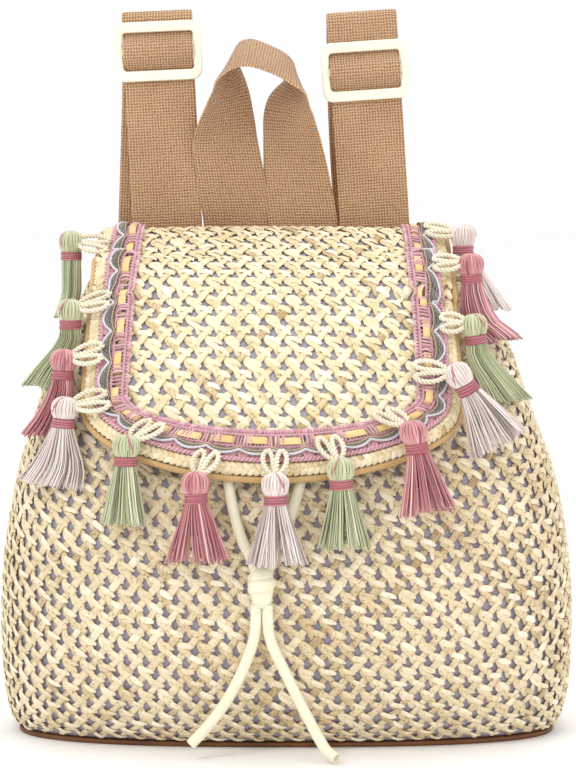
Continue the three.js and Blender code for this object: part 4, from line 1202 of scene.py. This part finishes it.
def webbing(skin, centres, across, square=True):
    """A strip of webbing with rounded selvedges along centres, each with the direction across it. square
    turns that direction square to the line; a strip that folds over diagonally keeps it as it is."""
    centres, across = np.asarray(centres, dtype=float), np.asarray(across, dtype=float)
    run = run_along(centres)
    tangent = unit(np.gradient(centres, run, axis=0))
    if square:
        across = across - tangent * np.sum(across * tangent, axis=1, keepdims=True)
    side = unit(across)
    face = unit(np.cross(tangent, side))
    half, thick = WEBBING_WIDTH / 2, WEBBING_THICK / 2
    profile = [(x * half, thick * (1 - 0.12 * (abs(x) > 0.85))) for x in np.linspace(-0.94, 0.94, 13)]
    profile += [(0.985 * half, thick * 0.6), (half, 0.0), (0.985 * half, -thick * 0.6)]
    profile += [(-x, -y) for x, y in profile[:13]]
    profile += [(-0.985 * half, -thick * 0.6), (-half, 0.0), (-0.985 * half, thick * 0.6)]
    profile = np.array(profile)
    points = centres[:, None] + side[:, None] * profile[None, :, 0, None] + face[:, None] * profile[None, :, 1, None]
    uv = pair(profile[:, 0] * 1000, run[:, None] * 1000)
    ends = [np.repeat(centres[end][None, None], len(profile), axis=1) for end in (0, -1)]
    skin.grid(np.concatenate([ends[0], points, ends[1]]), np.concatenate([uv[:1], uv, uv[-1:]]), close_columns=True)


SEWN_DEPTH = 0.445 * BODY_DEPTH + WEAVE_TOP + SEAT + WEBBING_THICK / 2
BACK_FACE = 0.445 * BODY_DEPTH + WEAVE_TOP
FLAP_TOP = 1.084 * BODY_HEIGHT
FOOT_HEIGHT = 0.15 * BODY_HEIGHT
STRAPS = [
    {"side": "left", "place": -0.217, "lean": 2.6, "drop": 0.022, "foot": -0.293, "bend": 1.4, "tilt": 5.4},
    {"side": "right", "place": 0.161, "lean": 3.9, "drop": 0.0325, "foot": 0.293, "bend": 2.0, "tilt": -5.4},
]
STRAP_BACK = [(0.06, 1.42), (0.085, 1.2), (0.13, 1), (0.24, 0.78), (0.3, 0.56), (0.26, 0.36), (0.14, 0.22)]


def strap_line(strap):
    slope = math.tan(math.radians(strap["lean"]))

    def line_x(z):
        return strap["place"] * BODY_WIDTH - slope * (z - FLAP_TOP)

    def at(y, z):
        return np.array([line_x(z), y, z])

    slider_z = STRAP_TOP - strap["drop"]
    step = SLIDER_THICK / 2 + SEAT + WEBBING_THICK / 2
    slider_y = SEWN_DEPTH - 0.06 * BODY_DEPTH
    slot = SLIDER_HEIGHT / 2 - SLIDER_BAR
    fold_z = STRAP_TOP - STRAP_FOLD - WEBBING_THICK / 2
    front = slider_y + step
    climb = [
        at(SEWN_DEPTH, BODY_HEIGHT - HEM_HEIGHT - STRAP_SEWN / 2), at(SEWN_DEPTH, BODY_HEIGHT + 0.002),
        at(SEWN_DEPTH - 0.1 * (SEWN_DEPTH - front), FLAP_TOP),
        at((SEWN_DEPTH + front) / 2, (FLAP_TOP + slider_z) / 2 - 0.06 * BODY_HEIGHT),
        at(front, slider_z - SLIDER_HEIGHT / 2 - 0.001), at(front, slider_z - slot + 0.0007),
        at(slider_y - step, slider_z - CENTRE_BAR / 2 - 0.0009), at(slider_y - step - 0.0005, slider_z),
        at(slider_y - step, slider_z + CENTRE_BAR / 2 + 0.0009), at(front, slider_z + slot - 0.0007),
        at(front, slider_z + SLIDER_HEIGHT / 2 + 0.0006),
    ]
    for i in range(7):
        angle = math.pi - math.pi * i / 6
        climb.append(at(front + STRAP_FOLD + STRAP_FOLD * math.cos(angle), fold_z + STRAP_FOLD * math.sin(angle)))
    top_x = line_x(fold_z)
    back = [np.array([top_x, front + 2 * STRAP_FOLD, fold_z])]
    for gap, height in STRAP_BACK:
        z = height * BODY_HEIGHT
        fall = (fold_z - z) / (fold_z - FOOT_HEIGHT)
        x = top_x + (strap["foot"] * BODY_WIDTH - top_x) * fall ** (2 if strap["side"] == "right" else 1.4)
        back.append(np.array([x, BACK_FACE + gap * BODY_DEPTH, z]))
    back.append(np.array([strap["foot"] * BODY_WIDTH, 0.4425 * BODY_DEPTH + SEAT + WEBBING_THICK / 2, FOOT_HEIGHT]))
    drop = curve_through(back, 90)
    foot_end = drop[-1] + [0, -0.006 * BODY_DEPTH, -0.4 * STRAP_SEWN]
    return np.array(climb), drop, foot_end, (slider_y, slider_z, line_x(slider_z))


def box_stitches(skin, centre, up, side, face, width, height):
    """A rectangle of sewing with a cross in it."""
    corners = [centre + side * sx * width / 2 + up * sz * height / 2 + face * 0.001
               for sx, sz in ((-1, -1), (1, -1), (1, 1), (-1, 1))]
    for a, b in ((0, 1), (1, 2), (2, 3), (3, 0), (0, 2), (1, 3)):
        count = max(int(np.linalg.norm(corners[b] - corners[a]) / 0.0031), 2)
        for i in range(count):
            p = corners[a] + (corners[b] - corners[a]) * (i + 0.5) / count
            stitch(skin, p - face * 0.0001, corners[b] - corners[a], face, 0.0024, 0.0006, 0.0004, 0.5)


def build_straps():
    for strap in STRAPS:
        climb, drop, foot_end, _ = strap_line(strap)
        lean = math.radians(strap["lean"])
        across = np.array([math.cos(lean), 0, math.sin(lean)])
        front = resample(climb[:4], 30)
        front = np.vstack([front, climb[4:]])
        path = np.vstack([front[:-1], drop])
        path = np.vstack([path, resample(np.vstack([drop[-1], foot_end]), 5)[1:]])
        tilt = math.tan(math.radians(strap["tilt"]))
        turned = [[1, 0, tilt * (i / len(drop)) ** 3] for i in range(len(drop))]
        directions = np.vstack([
            np.repeat(across[None], len(front) - 1, axis=0), turned, np.repeat([[1, 0, tilt]], 4, axis=0)])
        skin = Skin()
        line = resample(np.hstack([path, directions]), 320)
        webbing(skin, line[:, :3], line[:, 3:])
        name = "strap_" + strap["side"]
        band = skin.object(name + "_webbing", "tan_webbing", [name])
        sewing = Skin()
        up = unit(climb[1] - climb[0])
        behind = np.array([0, 1.0, 0])
        box_stitches(sewing, (climb[0] + climb[1]) / 2 - up * 0.0005, up, across, behind, 0.032, 0.019)
        foot_up = unit(drop[-1] - foot_end)
        foot_side = unit([1, 0, tilt])
        box_stitches(sewing, (drop[-1] + foot_end) / 2, foot_up, foot_side, behind, 0.032, 0.009)
        sewn = sewing.object(name + "_stitches", "thread", [name])


def rounded_outline(width, height, radius, segments=8):
    points = []
    for cx, cz, start in ((1, -1, -90), (1, 1, 0), (-1, 1, 90), (-1, -1, 180)):
        for k in range(segments + 1):
            angle = math.radians(start + 90 * k / segments)
            points.append([cx * (width / 2 - radius) + radius * math.cos(angle),
                           cz * (height / 2 - radius) + radius * math.sin(angle)])
    return np.array(points)


def build_sliders():
    """Moulded three-bar sliders with rounded edges: an outer frame and a centre bar."""
    for strap in STRAPS:
        y, z, x = strap_line(strap)[3]
        lean = math.radians(strap["lean"])
        side = np.array([math.cos(lean), 0, math.sin(lean)])
        up = np.array([-math.sin(lean), 0, math.cos(lean)])
        outer = rounded_outline(SLIDER_WIDTH, SLIDER_HEIGHT, SLIDER_CORNER)
        inner = rounded_outline(SLIDER_WIDTH - 2 * SLIDER_SIDE, SLIDER_HEIGHT - 2 * SLIDER_BAR, 0.0022)
        half = SLIDER_THICK / 2
        loops = []
        for angle in np.linspace(0, 2 * math.pi, 16, endpoint=False):
            c, s = math.cos(angle), math.sin(angle)
            share = 0.5 + 0.5 * signed_power(c, 0.45)
            depth = half * signed_power(s, 0.45)
            plane = inner + (outer - inner) * share
            loops.append(np.array([x, y, z]) + plane[:, :1] * side + plane[:, 1:] * up + np.array([0, depth, 0]))
        skin = Skin()
        skin.grid(np.stack(loops), close_rows=True, close_columns=True)
        reach = SLIDER_WIDTH / 2 - SLIDER_SIDE * 0.6
        bar = np.array([x, y, z]) + np.linspace(-reach, reach, 6)[:, None] * side
        rings = []
        for angle in np.linspace(0, 2 * math.pi, 16, endpoint=False):
            c, s = math.cos(angle), math.sin(angle)
            depth = -signed_power(s, 0.5) * half * 0.96
            rings.append(bar + up * signed_power(c, 0.5) * CENTRE_BAR / 2 + np.array([0, depth, 0]))
        skin.grid(np.stack(rings, axis=1), close_columns=True)
        name = "slider_" + strap["side"]
        skin.object(name + "_moulding", "ivory_plastic", [name])


# Grab handle: across and up are shares of the webbing's width and of the handle's rise, behind is in
# thicknesses, and turn and tilt are the angles of the webbing's width, in degrees
HANDLE_STATIONS = [
    (-0.435, 1.2, -0.19, -90, 0), (-0.435, 1.2, 0.03, -90, 0), (-0.44, 1, 0.18, -89, 0),
    (-0.53, 0.2, 0.38, -80, 0), (-0.62, -0.6, 0.59, -69, 2), (-0.605, -2, 0.69, -50, 6),
    (-0.585, -3, 0.78, -38, 13), (-0.59, -4.3, 0.87, -25, 21), (-0.61, -5.2, 0.935, -10, 23),
    (-0.48, -6.5, 0.992, -6, 26), (-0.29, -7.5, 1.009, -2, 25), (0.02, -7.5, 0.978, -5, 22),
    (0.26, -6.5, 0.935, -4, 22), (0.43, -5.4, 0.87, 2, 21), (0.38, -4.2, 0.83, 20, 19),
    (0.3, -2.8, 0.78, 39, 14), (0.29, -1.5, 0.7, 48, 5), (0.332, -0.6, 0.59, 56, 0),
    (0.42, -0.2, 0.36, 76, 0), (0.5, 0, 0.16, 90, 0), (0.525, 0, 0.03, 90, 0), (0.525, 0, -0.19, 90, 0),
]


def build_handle():
    middle = -0.032 * BODY_WIDTH
    rows = []
    for across, behind, up, turn, tilt in HANDLE_STATIONS:
        angle, tilt = math.radians(turn), math.radians(tilt)
        rows.append([
            middle + across * WEBBING_WIDTH, SEWN_DEPTH + behind * WEBBING_THICK, BODY_HEIGHT + up * HANDLE_RISE,
            math.sin(angle), -math.cos(angle) * math.cos(tilt), -math.cos(angle) * math.sin(tilt),
        ])
    rows = np.array(rows)
    centres = curve_through(rows[:, :3], 220)
    run = run_along(rows[:, :3])
    at = np.linspace(0, run[-1], len(centres))
    directions = np.stack([np.interp(at, run, rows[:, k]) for k in (3, 4, 5)], axis=1)
    reach = 7
    kernel = np.ones(2 * reach + 1) / (2 * reach + 1)
    padded = np.pad(directions, ((reach, reach), (0, 0)), mode="edge")
    directions = np.stack([np.convolve(padded[:, k], kernel, mode="valid") for k in range(3)], axis=1)
    skin = Skin()
    webbing(skin, centres, directions, square=False)
    handle = skin.object("grab_handle_webbing", "tan_webbing", ["grab_handle"])


# Drawstring: the CAD's routes in metres, but below the knot each tail lies up to 2 mm nearer the other
CORD_SIDES = 20
KNOT_CORE = [  # height as a share of the knot, and size
    (-0.66, 0.1), (-0.63, 0.75), (-0.35, 0.82), (0.0, 1.0), (0.35, 0.95), (0.6, 0.88), (0.7, 0.5),
    (0.72, 0.1),
]
CORDS = {
    "left": [(-0.031, 0.001, 0.233), (-0.0315, -0.0061, 0.227), (-0.032, -0.0199, 0.213),
             (-0.032, -0.0363, 0.191), (-0.031, -0.0497, 0.168), (-0.0295, -0.0608, 0.145),
             (-0.0275, -0.0662, 0.130), (-0.0225, -0.0707, 0.112), (-0.017, -0.0738, 0.101),
             (-0.0152, -0.0763, 0.0963)],
    "right": [(0.014, 0.001, 0.233), (0.014, -0.0061, 0.227), (0.0135, -0.0199, 0.213),
              (0.0125, -0.0363, 0.191), (0.0105, -0.0497, 0.168), (0.008, -0.061, 0.145),
              (0.0045, -0.0662, 0.130), (-0.003, -0.0707, 0.112), (-0.008, -0.0738, 0.101),
              (-0.0093, -0.0763, 0.0963)],
    "tail_left": [(-0.0151, -0.0773, 0.0794), (-0.0152, -0.0775, 0.072), (-0.0163, -0.0776, 0.062),
                  (-0.022, -0.077, 0.046), (-0.030, -0.076, 0.0305), (-0.040, -0.0755, 0.017),
                  (-0.048, -0.0765, 0.0085)],
    "tail_right": [(-0.0094, -0.0773, 0.0794), (-0.0093, -0.0775, 0.072), (-0.0080, -0.0776, 0.062),
                   (0.0005, -0.0772, 0.043), (0.0085, -0.0768, 0.0265), (0.016, -0.078, 0.0125),
                   (0.020, -0.0805, 0.0065), (0.025, -0.0845, 0.0034)],
}


def tube_cord(skin, line, hollow_end):
    """A round woven tube; a cut end shows that it is hollow, with painted shade inside it."""
    ring, angle = circles(line, CORD_SIDES)
    radius = CORD_WIDTH / 2
    uv = pair(angle * radius * 1000, run_along(line)[:, None] * 1000)
    skin.grid(line[:, None] + ring * radius, uv, 0.6, close_columns=True)
    start = np.stack([np.repeat(line[:1], CORD_SIDES, axis=0), line[0] + ring[0] * radius])
    skin.grid(start, tone=0.4, close_columns=True)
    if hollow_end:
        lip = [line[-1] + ring[-1] * radius, line[-1] + ring[-1] * radius * 0.78]
        lip += [line[-3] + ring[-3] * radius * 0.74, np.repeat(line[-3:-2], CORD_SIDES, axis=0)]
        # Painted shade: the lip darkens to black down inside the hollow end.
        skin.grid(np.stack(lip), tone=np.array([0.6, 0.5, 0.1, 0.0])[:, None], close_columns=True)
    else:
        stop = np.stack([line[-1] + ring[-1] * radius, np.repeat(line[-1:], CORD_SIDES, axis=0)])
        skin.grid(stop, tone=0.4, close_columns=True)


def build_drawstring():
    for end, points in CORDS.items():
        line = curve_through(points, 90)
        skin = Skin()
        tube_cord(skin, line, end.startswith("tail"))
        name = "drawstring_" + end
        skin.object(name + "_tube", "ivory_cord", [name])
    knot = Skin()
    centre = np.array([-0.0123, -0.0775, 0.0875])
    for k, (low, high, turns, radius) in enumerate(((-0.08, 0.36, 1.15, 0.0028), (0.05, 0.25, 1.0, 0.0027))):
        t = np.linspace(0, 1, 60)
        angle = 2 * math.pi * turns * t + (0.4 if k else 2.2)
        z = centre[2] + (low + (high - low) * t) * KNOT_WIDTH
        x = centre[0] + 0.0043 * np.cos(angle)
        y = centre[1] + 0.0022 * np.sin(angle)
        line = np.stack([x, y, z], axis=1)
        knot.tube(line, radius, 14, 0.6)
    core = []
    angle = np.linspace(0, 2 * math.pi, CORD_SIDES, endpoint=False)
    for along, size in KNOT_CORE:
        core.append(np.stack([centre[0] + 0.0062 * size * np.cos(angle), centre[1] + 0.0036 * size * np.sin(angle),
                              np.full(CORD_SIDES, centre[2] + along * KNOT_WIDTH)], axis=1))
    knot.grid(np.stack(core), close_columns=True, tone=0.5)
    knot_obj = knot.object("drawstring_knot_turns", "ivory_cord", ["drawstring_knot"])


# The stage

def build_stage():
    scene = bpy.context.scene
    floor_mesh = bpy.data.meshes.new("studio_floor")
    size = 12.0
    corners = [(-size, -size, 0), (size, -size, 0), (size, size, 0), (-size, size, 0)]
    floor_mesh.from_pydata(corners, [], [(0, 1, 2, 3)])
    floor = bpy.data.objects.new("studio_floor", floor_mesh)
    scene.collection.objects.link(floor)
    paper, tree, surface, position, _ = new_material("white studio paper")
    colour = ramp(tree, noise(tree, position, 3.0), [(0.0, "#fbfbfb"), (1.0, "#ffffff")])
    tree.links.new(colour, surface.inputs["Base Color"])
    surface.inputs["Roughness"].default_value = 0.9
    floor_mesh.materials.append(paper)
    world = bpy.data.worlds.new("studio")
    world.use_nodes = True
    sky = world.node_tree.nodes["Background"].inputs
    sky["Color"].default_value = (1, 1, 1, 1)
    sky["Strength"].default_value = 1.0
    scene.world = world
    lights = [
        ("key", (-1.1, -1.6, 1.9), 0.9, 16), ("fill", (1.5, -1.5, 1.1), 1.6, 5), ("top", (0.1, 0.3, 2.0), 1.0, 8),
    ]
    for name, place, width, watts in lights:
        data = bpy.data.lights.new(name, "AREA")
        data.energy = watts
        data.size = width
        light = bpy.data.objects.new(name, data)
        light.location = place
        direction = np.array([0, 0, 0.17]) - np.array(place)
        light.rotation_euler = look(direction)
        scene.collection.objects.link(light)
    camera_data = bpy.data.cameras.new("camera")
    camera_data.lens = CAMERA_LENS
    camera_data.sensor_width = 36
    camera_data.clip_end = 30
    camera = bpy.data.objects.new("camera", camera_data)
    e = math.radians(CAMERA_ELEVATION)
    target = np.array(CAMERA_TARGET)
    place = target + CAMERA_DISTANCE * np.array([0, -math.cos(e), math.sin(e)])
    camera.location = place
    camera.rotation_euler = look(target - place)
    scene.collection.objects.link(camera)
    scene.camera = camera
    scene.view_settings.view_transform = "Standard"


def look(direction):
    """Euler angles that point an object's -Z along a direction, with +Z up."""
    return Vector([float(x) for x in direction]).to_track_quat("-Z", "Y").to_euler()


# Settings, operators and panel

class BackpackSettings(bpy.types.PropertyGroup):
    pitch: FloatProperty(
        name="Pitch", description="Distance between holes in a row",
        default=0.0102, min=0.004, unit="LENGTH")
    row: FloatProperty(
        name="Row", description="Distance between rows of holes",
        default=0.0065, min=0.003, unit="LENGTH")
    tape: FloatProperty(
        name="Tape", description="Width of the diagonal straw tapes",
        default=0.0038, min=0.001, unit="LENGTH")
    lens: FloatProperty(
        name="Slanting strand", description="Width of the strand under each hole",
        default=0.0029, min=0.001, unit="LENGTH")
    strands: IntProperty(
        name="Strands", description="Yarns in each tassel's skirt", default=110, min=22)


class BACKPACK_OT_body(bpy.types.Operator):
    """Weaves the body's straw over its lining"""
    bl_idname = "backpack.body"
    bl_label = "Straw body"

    def execute(self, context):
        build_body_weave(context.scene.backpack)
        build_hem()
        return {"FINISHED"}


class BACKPACK_OT_linings(bpy.types.Operator):
    """Makes the linings and the base panel"""
    bl_idname = "backpack.linings"
    bl_label = "Linings and base"

    def execute(self, context):
        build_linings()
        build_base()
        return {"FINISHED"}


class BACKPACK_OT_flap(bpy.types.Operator):
    """Weaves the flap and binds its edge"""
    bl_idname = "backpack.flap"
    bl_label = "Flap"

    def execute(self, context):
        build_flap_weave(context.scene.backpack)
        build_binding()
        build_border()
        return {"FINISHED"}


class BACKPACK_OT_trims(bpy.types.Operator):
    """Sews the lace, ribbon and silver braid round the flap"""
    bl_idname = "backpack.trims"
    bl_label = "Lace, ribbon and braid"

    def execute(self, context):
        build_lace()
        build_ribbon()
        build_silver()
        return {"FINISHED"}


class BACKPACK_OT_tassels(bpy.types.Operator):
    """Hangs the tassels on their loops"""
    bl_idname = "backpack.tassels"
    bl_label = "Tassels"

    def execute(self, context):
        for number, row in enumerate(TASSELS, 1):
            head, outward = build_tassel(number, row, context.scene.backpack)
            build_loop(number, row, head, outward)
        return {"FINISHED"}


class BACKPACK_OT_straps(bpy.types.Operator):
    """Makes the shoulder straps, sliders and grab handle"""
    bl_idname = "backpack.straps"
    bl_label = "Straps, sliders and handle"

    def execute(self, context):
        build_straps()
        build_sliders()
        build_handle()
        return {"FINISHED"}


class BACKPACK_OT_drawstring(bpy.types.Operator):
    """Lays the drawstring, its knot and its tails"""
    bl_idname = "backpack.drawstring"
    bl_label = "Drawstring"

    def execute(self, context):
        build_drawstring()
        return {"FINISHED"}


class BACKPACK_OT_stage(bpy.types.Operator):
    """Sets the floor, lights and camera"""
    bl_idname = "backpack.stage"
    bl_label = "Studio"

    def execute(self, context):
        build_stage()
        return {"FINISHED"}


STEPS = [
    BACKPACK_OT_stage, BACKPACK_OT_drawstring, BACKPACK_OT_linings, BACKPACK_OT_body, BACKPACK_OT_flap,
    BACKPACK_OT_trims, BACKPACK_OT_tassels, BACKPACK_OT_straps,
]


class BACKPACK_PT_panel(bpy.types.Panel):
    """The backpack's steps and sizes"""
    bl_label = "Backpack"
    bl_idname = "BACKPACK_PT_panel"
    bl_space_type = "VIEW_3D"
    bl_region_type = "UI"
    bl_category = "Backpack"

    def draw(self, context):
        for name in ("pitch", "row", "tape", "lens", "strands"):
            self.layout.prop(context.scene.backpack, name)
        for step in STEPS:
            self.layout.operator(step.bl_idname)


CLASSES = [BackpackSettings, *STEPS, BACKPACK_PT_panel]


def register():
    for item in CLASSES:
        bpy.utils.register_class(item)
    bpy.types.Scene.backpack = PointerProperty(type=BackpackSettings)


def unregister():
    del bpy.types.Scene.backpack
    for item in reversed(CLASSES):
        bpy.utils.unregister_class(item)


def main():
    register()
    bpy.ops.backpack.stage()
    bpy.ops.backpack.drawstring()
    bpy.ops.backpack.linings()
    bpy.ops.backpack.body()
    bpy.ops.backpack.flap()
    bpy.ops.backpack.trims()
    bpy.ops.backpack.tassels()
    bpy.ops.backpack.straps()


if __name__ == "__main__":
    main()
